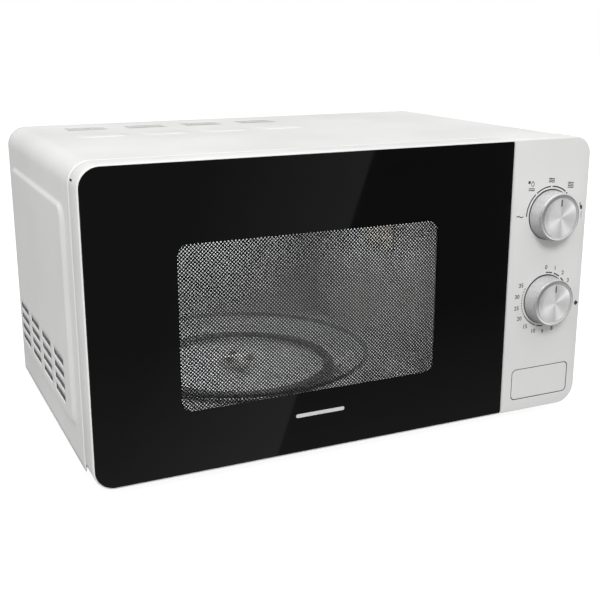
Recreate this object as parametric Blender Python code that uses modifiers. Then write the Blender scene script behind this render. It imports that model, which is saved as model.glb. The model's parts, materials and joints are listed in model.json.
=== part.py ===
"""Countertop microwave oven with two dials, a push-open door and its working parts inside.

The object stands on four feet at Z = 0. The front looks along -Y, X runs to the right and
the origin is the middle of the footprint. Sizes in this script are millimetres; the helpers
turn them into metres.
"""

import math

import bmesh
import bpy
from mathutils import Matrix, Vector

MM = 0.001

# Overall driving dimensions
FRONT_HALF = 225.75          # half the width of the front
FRONT_BOTTOM = 10.0          # underside of door and panel
FRONT_TOP = 256.5
FRONT_Y = -155.75            # front plane of glass and panel
SEAM_Y = -128.0              # front edge of the steel case
CASE_BACK_Y = 137.25
REAR_Y = 171.25              # back of the bulge behind the cavity
FRONT_ROUND = 17.0           # corner rounding of the front outline
SHEET = 0.8                  # steel sheet thickness
GAP = 0.3                    # clearance between neighbours

# Case
CASE_HALF = 225.35
CASE_TOP = 256.0
CASE_LOW = 16.15
PAD_RISE = 0.5
SIDE_RISE = 2.2              # how far the side pressing stands proud

# Door and control panel
DOOR_RIGHT = 144.05
PANEL_LEFT = 144.65
DOOR_BACK_Y = -129.0
GLASS_THICK = 4.0
WINDOW_X = (-154.85, 70.15)
WINDOW_Z = (62.75, 194.25)
HINGE_X = -219.5
HINGE_Y = -135.5
DOOR_OPEN_DEG = 95.0
LATCH_LIFT = 3.5

# Dials and button
DIAL_X = 185.3
POWER_Z = 189.55
TIMER_Z = 112.95
KNOB_OUT = 15.5
BUTTON_X = (155.05, 216.5)
BUTTON_Z = (21.3, 49.4)
BUTTON_TRAVEL = 4.0
LEVER_Y = -121.0
LEVER_Z = 62.0

# Cavity and turntable
CAVITY_X = (-198.5, 116.5)
CAVITY_Y = (-123.9, 164.7)
CAVITY_Z = (27.0, 224.0)
TABLE_X = -41.0
TABLE_Y = 20.0
TABLE_RADIUS = 127.5
TRACK_Z = 25.5               # floor of the pressed roller track
WHEEL_RADIUS = 5.5
WHEEL_RING = 97.0
TABLE_UNDER = TRACK_Z + GAP + 2 * WHEEL_RADIUS + GAP

# Works behind the control panel
FAN_X = 172.0
FAN_Z = 158.0
MAGNETRON_Y = 22.0
MAGNETRON_Z = 165.0

for old in list(bpy.data.objects):
    bpy.data.objects.remove(old, do_unlink=True)

parts = bpy.data.collections.new("microwave_oven")
cutters = bpy.data.collections.new("cutters")
bpy.context.scene.collection.children.link(parts)
bpy.context.scene.collection.children.link(cutters)


# ---------------------------------------------------------------- helpers
def material(name, colour, roughness, metallic=0.0):
    made = bpy.data.materials.get(name)
    if made is None:
        made = bpy.data.materials.new(name)
        made.use_nodes = True
        made.diffuse_color = (*colour, 1.0)
        shader = made.node_tree.nodes["Principled BSDF"]
        shader.inputs["Base Color"].default_value = (*colour, 1.0)
        shader.inputs["Roughness"].default_value = roughness
        shader.inputs["Metallic"].default_value = metallic
    return made


WHITE_PAINT = ("white painted steel", (0.80, 0.80, 0.80), 0.38)
WHITE_PLASTIC = ("white abs plastic", (0.79, 0.79, 0.79), 0.42)
BLACK_GLASS = ("black printed glass", (0.012, 0.012, 0.013), 0.06)
SILVER_PLASTIC = ("silver lacquered plastic", (0.62, 0.62, 0.63), 0.32, 0.6)
BARE_STEEL = ("galvanised steel", (0.56, 0.57, 0.58), 0.42, 1.0)
SCREEN_STEEL = ("black perforated steel", (0.05, 0.05, 0.05), 0.5, 0.4)
CAVITY_PAINT = ("grey cavity enamel", (0.62, 0.62, 0.61), 0.45)
CLEAR_SHEET = ("clear polyester sheet", (0.85, 0.87, 0.88), 0.05)
TRAY_GLASS = ("turntable glass", (0.75, 0.80, 0.79), 0.04)
GREY_PLASTIC = ("dark grey nylon", (0.18, 0.17, 0.16), 0.5)
NATURAL_PLASTIC = ("natural nylon", (0.72, 0.70, 0.64), 0.5)
BLACK_RUBBER = ("black rubber", (0.03, 0.03, 0.03), 0.8)
COPPER_WIRE = ("enamelled copper", (0.55, 0.24, 0.10), 0.4, 0.9)
ALUMINIUM = ("aluminium", (0.78, 0.79, 0.80), 0.35, 1.0)
MICA = ("mica sheet", (0.62, 0.56, 0.45), 0.5)
BOARD_GREEN = ("green circuit board", (0.06, 0.20, 0.09), 0.5)
LAMP_GLASS = ("lamp glass", (0.9, 0.88, 0.8), 0.1)


def finish(obj, look):
    obj.data.materials.clear()
    obj.data.materials.append(material(*look))
    obj.data.shade_smooth()
    obj.data.set_sharp_from_angle(angle=math.radians(32))
    return obj


def place(name, bm, collection=None):
    mesh = bpy.data.meshes.new(name)
    bm.to_mesh(mesh)
    bm.free()
    obj = bpy.data.objects.new(name, mesh)
    (collection or parts).objects.link(obj)
    return obj


def block(name, x, y, z, collection=None):
    """A box between two corners."""
    bm = bmesh.new()
    size = Vector((x[1] - x[0], y[1] - y[0], z[1] - z[0])) * MM
    middle = Vector((x[0] + x[1], y[0] + y[1], z[0] + z[1])) * 0.5 * MM
    shape = Matrix.Translation(middle) @ Matrix.Diagonal((*size, 1.0))
    bmesh.ops.create_cube(bm, size=1.0, matrix=shape)
    return place(name, bm, collection)


def face_outward(bm):
    bmesh.ops.recalc_face_normals(bm, faces=bm.faces)
    if bm.calc_volume(signed=True) < 0:
        bmesh.ops.reverse_faces(bm, faces=bm.faces)


AXIS_TURN = {
    "x": Matrix.Rotation(math.radians(90), 4, "Y"),
    "y": Matrix.Rotation(math.radians(-90), 4, "X"),
    "z": Matrix.Identity(4),
}


def rod(name, axis, centre, radius, span, sides=24, collection=None):
    """A cylinder along an axis, from span[0] to span[1] on that axis."""
    index = "xyz".index(axis)
    middle = Vector(centre)
    middle[index] = 0.5 * (span[0] + span[1])
    bm = bmesh.new()
    shape = Matrix.Translation(middle * MM) @ AXIS_TURN[axis]
    bmesh.ops.create_cone(bm, cap_ends=True, segments=sides, radius1=radius * MM,
                          radius2=radius * MM, depth=(span[1] - span[0]) * MM, matrix=shape)
    return place(name, bm, collection)


def round_outline(a, b, radii, steps=6):
    """Corner-rounded rectangle; radii run low-left, low-right, high-right, high-left."""
    corners = ((a[0], b[0], 180), (a[1], b[0], 270), (a[1], b[1], 0), (a[0], b[1], 90))
    points = []
    for (corner_a, corner_b, start), radius in zip(corners, radii):
        centre_a = corner_a + radius * (1 if corner_a == a[0] else -1)
        centre_b = corner_b + radius * (1 if corner_b == b[0] else -1)
        count = steps if radius > 0 else 0
        for step in range(count + 1):
            angle = math.radians(start + 90.0 * step / max(count, 1))
            points.append((centre_a + radius * math.cos(angle),
                           centre_b + radius * math.sin(angle)))
    return points


def on_axis(axis, a, b, along):
    """Outline point (a, b) at a place along the axis; a and b are X or Y, then Y or Z."""
    if axis == "x":
        return Vector((along, a, b)) * MM
    if axis == "y":
        return Vector((a, along, b)) * MM
    return Vector((a, b, along)) * MM


def loft(name, axis, sections, collection=None):
    """Closed solid through outlines that all have the same number of points."""
    bm = bmesh.new()
    rings = []
    for along, outline in sections:
        rings.append([bm.verts.new(on_axis(axis, a, b, along)) for a, b in outline])
    bm.faces.new(rings[0])
    bm.faces.new(rings[-1])
    for ring, after in zip(rings, rings[1:]):
        for i in range(len(ring)):
            j = (i + 1) % len(ring)
            bm.faces.new((ring[i], ring[j], after[j], after[i]))
    face_outward(bm)
    return place(name, bm, collection)


def plate(name, axis, outline, span, collection=None):
    """Flat outline as a 2D curve, filled and extruded, then made a mesh."""
    curve = bpy.data.curves.new(name, "CURVE")
    curve.dimensions = "2D"
    curve.fill_mode = "BOTH"
    curve.extrude = 0.5 * (span[1] - span[0]) * MM
    spline = curve.splines.new("POLY")
    spline.points.add(len(outline) - 1)
    for point, (a, b) in zip(spline.points, outline):
        point.co = (a * MM, b * MM, 0.0, 1.0)
    spline.use_cyclic_u = True
    flat = bpy.data.objects.new(name + "_outline", curve)
    cutters.objects.link(flat)
    bpy.context.view_layer.update()
    mesh = bpy.data.meshes.new_from_object(
        flat.evaluated_get(bpy.context.evaluated_depsgraph_get()))
    bpy.data.objects.remove(flat, do_unlink=True)
    bm = bmesh.new()
    bm.from_mesh(mesh)
    bpy.data.meshes.remove(mesh)
    bmesh.ops.remove_doubles(bm, verts=bm.verts, dist=0.000001)
    middle = 0.5 * (span[0] + span[1]) * MM
    for vert in bm.verts:
        vert.co = on_axis(axis, vert.co.x / MM, vert.co.y / MM, (middle + vert.co.z) / MM)
    face_outward(bm)
    return place(name, bm, collection)


def turned(name, profile, centre, axis="z", steps=32, collection=None):
    """Profile of (radius, height) points, outer side top to bottom, spun by a Screw modifier."""
    bm = bmesh.new()
    verts = [bm.verts.new((radius * MM, 0.0, height * MM)) for radius, height in profile]
    for first, second in zip(verts, verts[1:]):
        bm.edges.new((first, second))
    obj = place(name, bm, collection)
    screw = obj.modifiers.new("turn", "SCREW")
    screw.steps = steps
    screw.render_steps = steps
    screw.use_merge_vertices = True
    screw.merge_threshold = 0.00001
    obj.location = Vector(centre) * MM
    if axis == "front":
        obj.rotation_euler = (math.radians(90), 0.0, 0.0)
    elif axis != "z":
        obj.rotation_euler = AXIS_TURN[axis].to_euler()
    return obj


def as_tool(tool):
    for collection in list(tool.users_collection):
        collection.objects.unlink(tool)
    cutters.objects.link(tool)
    tool.hide_render = True
    tool.display_type = "WIRE"
    return tool


def combine(target, tool, operation):
    as_tool(tool)
    modifier = target.modifiers.new(operation.lower(), "BOOLEAN")
    modifier.operation = operation
    modifier.solver = "EXACT"
    modifier.object = tool
    return target


def cut(target, *tools):
    for tool in tools:
        combine(target, tool, "DIFFERENCE")
    return target


def fuse(target, *tools):
    for tool in tools:
        combine(target, tool, "UNION")
    return target


def baked(obj):
    """Apply the modifiers, so that many small cuts aren't worked out again."""
    bpy.context.view_layer.update()
    graph = bpy.context.evaluated_depsgraph_get()
    mesh = bpy.data.meshes.new_from_object(obj.evaluated_get(graph))
    tools = [modifier.object for modifier in obj.modifiers if modifier.type == "BOOLEAN"]
    obj.modifiers.clear()
    obj.data = mesh
    for tool in tools:
        if tool is not None:
            bpy.data.objects.remove(tool, do_unlink=True)
    return obj


def merged_tool(name, tools):
    """Several blocks that don't touch, as one cutter."""
    bm = bmesh.new()
    for tool in tools:
        bm.from_mesh(tool.data)
        bpy.data.objects.remove(tool, do_unlink=True)
    return place(name, bm, cutters)


def spread(count, pitch, middle=0.0):
    """Evenly spaced places around a middle."""
    return [middle + pitch * (i - 0.5 * (count - 1)) for i in range(count)]


# ---------------------------------------------------------------- case
def case_outline(inset):
    half = CASE_HALF - inset
    top = CASE_TOP - inset
    low = CASE_LOW - (5.0 if inset else 0.0)
    radius = FRONT_ROUND - inset
    return round_outline((-half, half), (low, top), (0, 0, radius, radius), 8)


def side_pressing(name, side, shift, lower_by):
    """Raised panel on a side wall, broad ramp at the front and narrow ones around."""
    foot = round_outline((-108.4, 124.0), (43.0, 221.2), (14, 6, 6, 12), 4)
    crest = round_outline((-97.5, 118.0), (46.0, 218.8), (9, 4, 4, 8), 4)
    wall = CASE_HALF - shift
    places = (wall - lower_by, wall, wall + SIDE_RISE)
    outlines = (foot, foot, crest)
    return loft(name, "x", [(side * p, o) for p, o in zip(places, outlines)], cutters)


def outer_case():
    case = plate("outer_case", "y", case_outline(0), (SEAM_Y, CASE_BACK_Y))
    pads = [(x, 38.3) for x in spread(4, 56.6, -75.1)]
    for side in (-1, 1):
        fuse(case, side_pressing("side_pressing", side, 0.0, 1.0))
    for x, width in pads:
        outline = round_outline((x - width / 2, x + width / 2), (18.5, 45.0), (2, 2, 2, 2), 2)
        fuse(case, plate("pad", "z", outline, (CASE_TOP - 0.5, CASE_TOP + PAD_RISE), cutters))
    baked(case)
    cut(case, plate("case_inside", "y", case_outline(SHEET), (SEAM_Y - 5, CASE_BACK_Y + 5)))
    for side in (-1, 1):
        cut(case, side_pressing("pressing_inside", side, SHEET, 2.0))
    for x, width in pads:
        outline = round_outline((x - width / 2 + 0.8, x + width / 2 - 0.8), (19.3, 44.2),
                                (2, 2, 2, 2), 2)
        cut(case, plate("pad_inside", "z", outline,
                        (CASE_TOP - 2, CASE_TOP + PAD_RISE - SHEET), cutters))
    baked(case)
    slots = []
    for side in (-1, 1):
        wall = side * (CASE_HALF + 1)
        for row in range(4):
            for column in range(4):
                y = -76.0 + 51.5 * column
                z = 54.8 + 10.35 * row
                slots.append(block("louvre", (wall - 5, wall + 5), (y, y + 37.0),
                                   (z, z + 5.0), cutters))
    for x, width in pads:
        for row in range(3):
            y = 83.5 + 8.4 * row
            slots.append(block("top_slot", (x - 18.8, x + 18.8), (y, y + 5.0),
                               (CASE_TOP - 3, CASE_TOP + 3), cutters))
    cut(case, merged_tool("case_slots", slots))
    return finish(baked(case), WHITE_PAINT)


def base_plate():
    plate_half = CASE_HALF - SHEET - GAP
    base = block("base_plate", (-plate_half, plate_half), (-122.4, 136.1), (16.4, 17.2))
    fuse(base, block("pan", (-206, 206), (-108, 124), (10.2, 17.0)))
    for side in (-1, 1):
        edge = sorted((side * plate_half, side * (plate_half - SHEET)))
        fuse(base, block("upturn", edge, (-122.4, 136.1), (16.6, 25.0)))
    baked(base)
    cut(base, block("pan_inside", (-205.2, 205.2), (-107.2, 123.2), (11.0, 19.0)))
    holes = []
    for x, y in foot_places():
        holes.append(rod("foot_hole", "z", (x, y, 0), 2.6, (8, 13), 12, cutters))
    for x in spread(5, 9.0, 172.0):
        holes.append(block("base_slot", (x, x + 4.0), (-30, 10), (8, 13), cutters))
    for tool in holes:
        cut(base, tool)
    return finish(baked(base), BARE_STEEL)


def foot_places():
    return [(x, y) for y in (-92.0, 108.0) for x in (-188.0, 188.0)]


def feet():
    names = ("foot_front_left", "foot_front_right", "foot_rear_left", "foot_rear_right")
    profile = ((0, 12.8), (2.2, 12.8), (2.2, 9.9), (12, 9.9), (12, 8.5), (10.5, 0.8), (9.7, 0),
               (0, 0))
    for name, (x, y) in zip(names, foot_places()):
        finish(turned(name, profile, (x, y, 0), steps=14), BLACK_RUBBER)


def screw_places():
    return [(-212.0, 60.0), (212.0, 60.0), (-212.0, 215.0), (212.0, 215.0)]


def rear_panel():
    half = CASE_HALF - SHEET - GAP
    outline = round_outline((-half, half), (17.6, CASE_TOP - SHEET - GAP), (0, 0, 15.9, 15.9), 8)
    panel = plate("rear_panel", "y", outline, (CASE_BACK_Y - SHEET, CASE_BACK_Y))
    foot = round_outline((-207.0, 125.0), (18.4, 237.0), (8, 8, 8, 8), 3)
    crest = round_outline((-204.0, 122.0), (20.5, 233.5), (8, 8, 8, 8), 3)
    fuse(panel, loft("bulge", "y", [(CASE_BACK_Y - 0.4, foot), (REAR_Y, crest)], cutters))
    baked(panel)
    foot_in = round_outline((-206.2, 124.2), (19.2, 236.2), (7.2, 7.2, 7.2, 7.2), 3)
    crest_in = round_outline((-203.2, 121.2), (21.3, 232.7), (7.2, 7.2, 7.2, 7.2), 3)
    sections = [(CASE_BACK_Y - 2, foot_in), (CASE_BACK_Y - 0.4, foot_in),
                (REAR_Y - SHEET, crest_in)]
    cut(panel, loft("bulge_inside", "y", sections, cutters))
    holes = [block("rear_slot", (138, 206), (130, 145), (z, z + 4.0), cutters)
             for z in spread(9, 9.4, FAN_Z - 2)]
    cut(panel, merged_tool("rear_slots", holes))
    cut(panel, rod("cord_hole", "y", (196, 0, 40), 6.0, (130, 145), 20))
    for x, z in screw_places():
        cut(panel, rod("screw_hole", "y", (x, 0, z), 2.0, (130, 145), 12))
    return finish(baked(panel), BARE_STEEL)


def case_screws():
    profile = ((0, 2.6), (2.2, 2.5), (3.4, 1.9), (3.8, 1.1), (3.8, 0.3), (1.5, 0.3), (1.5, -6.0),
               (0.8, -8.0), (0, -8.0))
    for number, (x, z) in enumerate(screw_places(), 1):
        screw = turned("case_screw_%d" % number, profile, (x, CASE_BACK_Y, z), "y", 10)
        finish(screw, BARE_STEEL)


def cord_bushing():
    profile = ((8.0, 3.3), (8.0, 0.3), (5.7, 0.3), (5.7, -1.1), (8.0, -1.1), (8.0, -3.4),
               (3.6, -3.4), (3.6, 3.3), (8.0, 3.3))
    ring = turned("cord_bushing", profile, (196, CASE_BACK_Y, 40), "y", 14)
    return finish(ring, BLACK_RUBBER)


# ---------------------------------------------------------------- cavity
def front_frame():
    outline = round_outline((-223.2, 143.8), (17.6, 253.3), (0, 0, 0, 15.9), 6)
    frame = plate("front_frame", "y", outline, (-125.2, -124.2))
    mouth = round_outline(CAVITY_X, CAVITY_Z, (3, 3, 3, 3), 3)
    cut(frame, plate("mouth", "y", mouth, (-130, -120), cutters))
    for low in (69.5, 187.5):
        cut(frame, block("hook_slot", (130.0, 141.0), (-130, -120), (low, low + 17.5)))
    for low in (242.6, 21.6):
        cut(frame, block("hinge_slot", (-230.0, -216.0), (-130, -120), (low, low + 2.3)))
    return finish(baked(frame), CAVITY_PAINT)


def cavity_shell():
    left, right = CAVITY_X
    outer = round_outline((left - SHEET, right + SHEET), (24.2, CAVITY_Z[1] + SHEET),
                          (0, 0, 8, 8), 4)
    inner = round_outline((left, right), (15.0, CAVITY_Z[1]), (0, 0, 7.2, 7.2), 4)
    shell = plate("cavity_shell", "y", outer, CAVITY_Y)
    cut(shell, plate("cavity_inside", "y", inner, (CAVITY_Y[0] - 5, CAVITY_Y[1] + 5), cutters))
    holes = [block("feed", (110, 125), (2, 42), (140, 190), cutters)]
    for z in spread(5, 5.5, 196.0):
        holes.append(block("lamp_slot", (110, 125), (-82, -58), (z, z + 3.0), cutters))
        holes.append(block("vent_slot", (-205, -190), (96, 132), (z, z + 3.0), cutters))
    cut(shell, merged_tool("shell_holes", holes))
    return finish(baked(shell), CAVITY_PAINT)


def cavity_floor():
    floor = block("cavity_floor", (CAVITY_X[0] + GAP, CAVITY_X[1] - GAP), CAVITY_Y, (26.2, 27.0))
    centre = (TABLE_X, TABLE_Y, 0)
    fuse(floor, rod("track_under", "z", centre, 112.8, (24.7, 26.6), 36))
    cut(floor, rod("track", "z", centre, 112.0, (TRACK_Z, 30), 36))
    cut(floor, rod("drive_hole", "z", centre, 8.0, (20, 30), 24))
    return finish(baked(floor), CAVITY_PAINT)


def cavity_rear():
    wall = block("cavity_rear", (CAVITY_X[0] - 0.7, CAVITY_X[1] + 0.7), (165.0, 165.8),
                 (24.3, CAVITY_Z[1] + 0.7))
    return finish(wall, CAVITY_PAINT)


def waveguide():
    duct = block("waveguide", (117.6, 140.6), (-18.0, 62.0), (125.0, 205.0))
    cut(duct, block("duct_inside", (110.0, 139.8), (-17.2, 61.2), (125.8, 204.2)))
    cut(duct, rod("antenna_hole", "x", (0, MAGNETRON_Y, MAGNETRON_Z), 12.0, (130, 150), 24))
    return finish(baked(duct), BARE_STEEL)


def waveguide_cover():
    outline = round_outline((-6, 50), (132, 198), (4, 4, 4, 4), 3)
    sheet = plate("waveguide_cover", "x", outline, (115.7, 116.2))
    return finish(sheet, MICA)


# ---------------------------------------------------------------- turntable
def glass_turntable():
    low = TABLE_UNDER
    profile = ((0, low + 4.3), (103, low + 4.3), (123, low + 7.7), (126.2, low + 8.1),
               (TABLE_RADIUS, low + 7.2), (TABLE_RADIUS, low + 5.6), (122, low + 4.3),
               (102, low), (92, low), (89, low + 1.3), (0, low + 1.3))
    tray = turned("glass_turntable", profile, (TABLE_X, TABLE_Y, 0), steps=40)
    for index in range(3):
        angle = math.radians(90 + 120 * index)
        x = TABLE_X + 12.5 * math.cos(angle)
        y = TABLE_Y + 12.5 * math.sin(angle)
        fuse(tray, rod("lug", "z", (x, y, 0), 3.0, (low - 3.2, low + 2.0), 12))
    return finish(baked(tray), TRAY_GLASS)


def drive_coupler():
    low = TABLE_UNDER
    profile = ((0, low + 0.9), (6.0, low + 0.9), (7.5, low), (7.5, 29.0), (3.5, 28.0),
               (3.5, 20.6), (0, 20.6))
    coupler = turned("drive_coupler", profile, (TABLE_X, TABLE_Y, 0), steps=16)
    for index in range(3):
        arm = block("coupler_arm", (0, 17.5), (-3.2, 3.2), (31.0, low - 0.6))
        arm.location = (TABLE_X * MM, TABLE_Y * MM, 0.0)
        arm.rotation_euler = (0.0, 0.0, math.radians(30 + 120 * index))
        fuse(coupler, arm)
    return finish(coupler, NATURAL_PLASTIC)


def roller_ring():
    axle_z = TRACK_Z + GAP + WHEEL_RADIUS
    profile = ((93, axle_z + 1.6), (93, axle_z - 1.6), (84, axle_z - 1.6), (84, axle_z + 1.6),
               (93, axle_z + 1.6))
    ring = turned("roller_ring", profile, (TABLE_X, TABLE_Y, 0), steps=40)
    for index in range(3):
        pin = rod("axle", "x", (0, 0, axle_z), 1.4, (91.0, 101.0), 12)
        pin.location = (TABLE_X * MM, TABLE_Y * MM, 0.0)
        pin.rotation_euler = (0.0, 0.0, math.radians(roller_angle(index)))
        fuse(ring, pin)
    return finish(ring, GREY_PLASTIC)


def roller_angle(index):
    return -30.0 + 120.0 * index


def rollers():
    axle_z = TRACK_Z + GAP + WHEEL_RADIUS
    profile = ((WHEEL_RADIUS - 0.6, 2.6), (WHEEL_RADIUS, 2.0), (WHEEL_RADIUS, -2.0),
               (WHEEL_RADIUS - 0.6, -2.6), (1.75, -2.6), (1.75, 2.6), (WHEEL_RADIUS - 0.6, 2.6))
    for index in range(3):
        angle = math.radians(roller_angle(index))
        place_x = TABLE_X + WHEEL_RING * math.cos(angle)
        place_y = TABLE_Y + WHEEL_RING * math.sin(angle)
        wheel = turned("roller_wheel_%d" % (index + 1), profile, (place_x, place_y, axle_z),
                       steps=14)
        turn = Matrix.Rotation(angle, 4, "Z") @ AXIS_TURN["x"]
        wheel.rotation_euler = turn.to_euler()
        finish(wheel, NATURAL_PLASTIC)


def turntable_motor():
    centre = (TABLE_X, TABLE_Y, 0)
    motor = rod("turntable_motor", "z", centre, 25.0, (12.0, 23.4), 24)
    ears = round_outline((TABLE_X - 31, TABLE_X + 31), (TABLE_Y - 6, TABLE_Y + 6),
                         (5, 5, 5, 5), 3)
    fuse(motor, plate("ears", "z", ears, (22.6, 24.2)))
    fuse(motor, block("terminals", (TABLE_X - 8, TABLE_X + 8), (TABLE_Y - 32, TABLE_Y - 20),
                      (13, 21)))
    cut(motor, rod("shaft_hole", "z", centre, 3.8, (20.2, 30), 20))
    return finish(baked(motor), BARE_STEEL)


# ---------------------------------------------------------------- control panel
def panel_outline(inset):
    outer = FRONT_ROUND - inset
    return round_outline((PANEL_LEFT + inset, FRONT_HALF - inset),
                         (FRONT_BOTTOM + inset, FRONT_TOP - inset),
                         (1.5, outer, outer, 1.5), 8)


def control_panel():
    sections = [(FRONT_Y, panel_outline(0.9)), (FRONT_Y + 0.3, panel_outline(0.3)),
                (FRONT_Y + 0.9, panel_outline(0.0)), (SEAM_Y - GAP, panel_outline(0.0))]
    panel = loft("control_panel", "y", sections)
    inside = round_outline((PANEL_LEFT + 2.5, FRONT_HALF - 2.5),
                           (FRONT_BOTTOM + 2.5, FRONT_TOP - 2.5), (1, 14, 14, 1), 6)
    cut(panel, plate("panel_inside", "y", inside, (FRONT_Y + 2.5, SEAM_Y + 5)))
    for z in (POWER_Z, TIMER_Z):
        cut(panel, rod("spindle_hole", "y", (DIAL_X, 0, z), 4.6, (-160, -150), 24))
    opening = round_outline((BUTTON_X[0] - GAP, BUTTON_X[1] + GAP),
                            (BUTTON_Z[0] - GAP, BUTTON_Z[1] + GAP), (4.3, 4.3, 4.3, 4.3), 4)
    cut(panel, plate("button_opening", "y", opening, (-160, -150)))
    return finish(baked(panel), WHITE_PLASTIC)


def knob(name, z):
    """Tapered silver knob with a dished face; its origin is on the spindle at the panel face."""
    out = KNOB_OUT
    profile = ((0, out - 0.3), (10, out - 0.25), (17.1, out - 0.1), (17.5, out),
               (19.2, out - 0.5), (20.5, out - 1.5), (20.9, out - 2.8), (21.7, 0.3), (19.9, 0.3),
               (18.7, 12.4), (6.0, 12.4), (6.0, 0.8), (3.25, 0.8), (3.25, 11.0), (0, 11.0))
    body = turned(name, profile, (DIAL_X, FRONT_Y, z), "front", 28)
    line = block("pointer", (DIAL_X - 0.45, DIAL_X + 0.45),
                 (FRONT_Y - out + 0.05, FRONT_Y - out + 1.2), (z + 9.7, z + 15.7))
    fuse(body, line)
    return finish(body, SILVER_PLASTIC)


def spindle(name, z):
    rod_piece = rod(name, "y", (DIAL_X, 0, z), 3.0, (FRONT_Y - 10.7, -138.0), 20)
    flat = block("flat", (DIAL_X - 5, DIAL_X + 5), (FRONT_Y - 12, FRONT_Y - 1.5),
                 (z - 5, z - 2.0))
    cut(rod_piece, flat)
    return finish(baked(rod_piece), BARE_STEEL)


def switch_box(name, half_x, z, low, high, depth_y, look):
    """Housing behind a dial with a socket for its spindle and a row of terminal tabs."""
    box = block(name, (DIAL_X - half_x, DIAL_X + half_x), (FRONT_Y + 2.85, depth_y),
                (z - low, z + high))
    cut(box, rod("socket", "y", (DIAL_X, 0, z), 3.5, (-160, -137.6), 20))
    baked(box)
    for x in spread(4, 10.0, DIAL_X):
        fuse(box, block("tab", (x - 2.4, x + 2.4), (depth_y - 1, depth_y + 7),
                        (z - low + 4, z - low + 4.8)))
    return finish(baked(box), look)


def dial_works():
    knob("power_knob", POWER_Z)
    knob("timer_knob", TIMER_Z)
    spindle("power_spindle", POWER_Z)
    spindle("timer_spindle", TIMER_Z)
    switch_box("power_switch", 21.0, POWER_Z, 22.0, 22.0, -118.0, NATURAL_PLASTIC)
    switch_box("timer_unit", 27.0, TIMER_Z, 29.0, 29.0, -108.0, BARE_STEEL)
    dome = ((0, 9.0), (10, 8.4), (17, 6.2), (22, 1.2), (22, 0.4), (0, 0.4))
    finish(turned("timer_bell", dome, (DIAL_X, -108.0, TIMER_Z + 4), "y", 20), BARE_STEEL)


def open_button():
    outline = round_outline(BUTTON_X, BUTTON_Z, (4, 4, 4, 4), 4)
    crown = round_outline((BUTTON_X[0] + 0.5, BUTTON_X[1] - 0.5),
                          (BUTTON_Z[0] + 0.5, BUTTON_Z[1] - 0.5), (3.5, 3.5, 3.5, 3.5), 4)
    button = loft("open_button", "y", [(FRONT_Y, crown), (FRONT_Y + 0.5, outline),
                                       (FRONT_Y + 9.0, outline)])
    inside = round_outline((BUTTON_X[0] + 2, BUTTON_X[1] - 2), (BUTTON_Z[0] + 2, BUTTON_Z[1] - 2),
                           (2, 2, 2, 2), 4)
    cut(button, plate("button_inside", "y", inside, (FRONT_Y + 2.5, FRONT_Y + 12)))
    fuse(button, block("stem", (158.5, 165.5), (FRONT_Y + 2.0, -134.0), (31.5, 39.0)))
    return finish(baked(button), WHITE_PLASTIC)


def release_lever():
    """Bell crank: the button pushes its foot back and its rear arm rises under the hook."""
    lever = rod("release_lever", "x", (0, LEVER_Y, LEVER_Z), 4.0, (150.0, 166.0), 20)
    fuse(lever, block("crank_down", (158.0, 166.0), (LEVER_Y - 2.5, LEVER_Y + 2.5),
                      (32.5, LEVER_Z)))
    fuse(lever, block("crank_foot", (158.0, 166.0), (-133.4, LEVER_Y), (32.5, 38.0)))
    fuse(lever, block("crank_back", (150.0, 155.0), (LEVER_Y, -105.0),
                      (LEVER_Z - 2, LEVER_Z + 2)))
    fuse(lever, block("finger", (134.0, 153.0), (-110.0, -105.0), (LEVER_Z - 2, LEVER_Z + 2)))
    cut(lever, rod("pin_hole", "x", (0, LEVER_Y, LEVER_Z), 2.0, (145.0, 170.0), 16))
    return finish(baked(lever), NATURAL_PLASTIC)


def latch_board():
    board = block("latch_board", (141.3, 143.5), (-123.8, -92.0), (50.0, 214.0))
    for top in (69.2, 187.2):
        fuse(board, block("catch", (129.8, 141.8), (-123.6, -117.0), (top - 6.0, top)))
        fuse(board, block("rib", (136.5, 141.8), (-97.0, -94.0), (top - 8.0, top + 22.0)))
    cut(board, block("finger_gap", (140.0, 145.0), (-112.0, -102.5), (57.0, 69.0)))
    pin = rod("lever_pin", "x", (0, LEVER_Y, LEVER_Z), 1.7, (142.5, 167.0), 16)
    fuse(board, pin)
    return finish(baked(board), NATURAL_PLASTIC)


def door_switches():
    names = ("primary_switch", "monitor_switch", "secondary_switch")
    for name, z in zip(names, (72.0, 126.0, 190.0)):
        switch = block(name, (143.8, 150.2), (-116.0, -96.0), (z, z + 10.0))
        for y in (-113.0, -106.0, -99.0):
            fuse(switch, block("tab", (145.5, 148.5), (y - 0.4, y + 0.4), (z + 9, z + 15.5)))
        finish(baked(switch), GREY_PLASTIC)


# ---------------------------------------------------------------- door
def door_outline(inset, right=DOOR_RIGHT, right_round=1.5, left_round=FRONT_ROUND):
    radius = left_round - inset
    return round_outline((-FRONT_HALF + inset, right), (FRONT_BOTTOM + inset, FRONT_TOP - inset),
                         (radius, right_round, right_round, radius), 8)


def hinge_heights():
    """Low and high edge of each hinge arm, bottom hinge first."""
    return ((22.0, 23.5), (243.0, 244.5))


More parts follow.
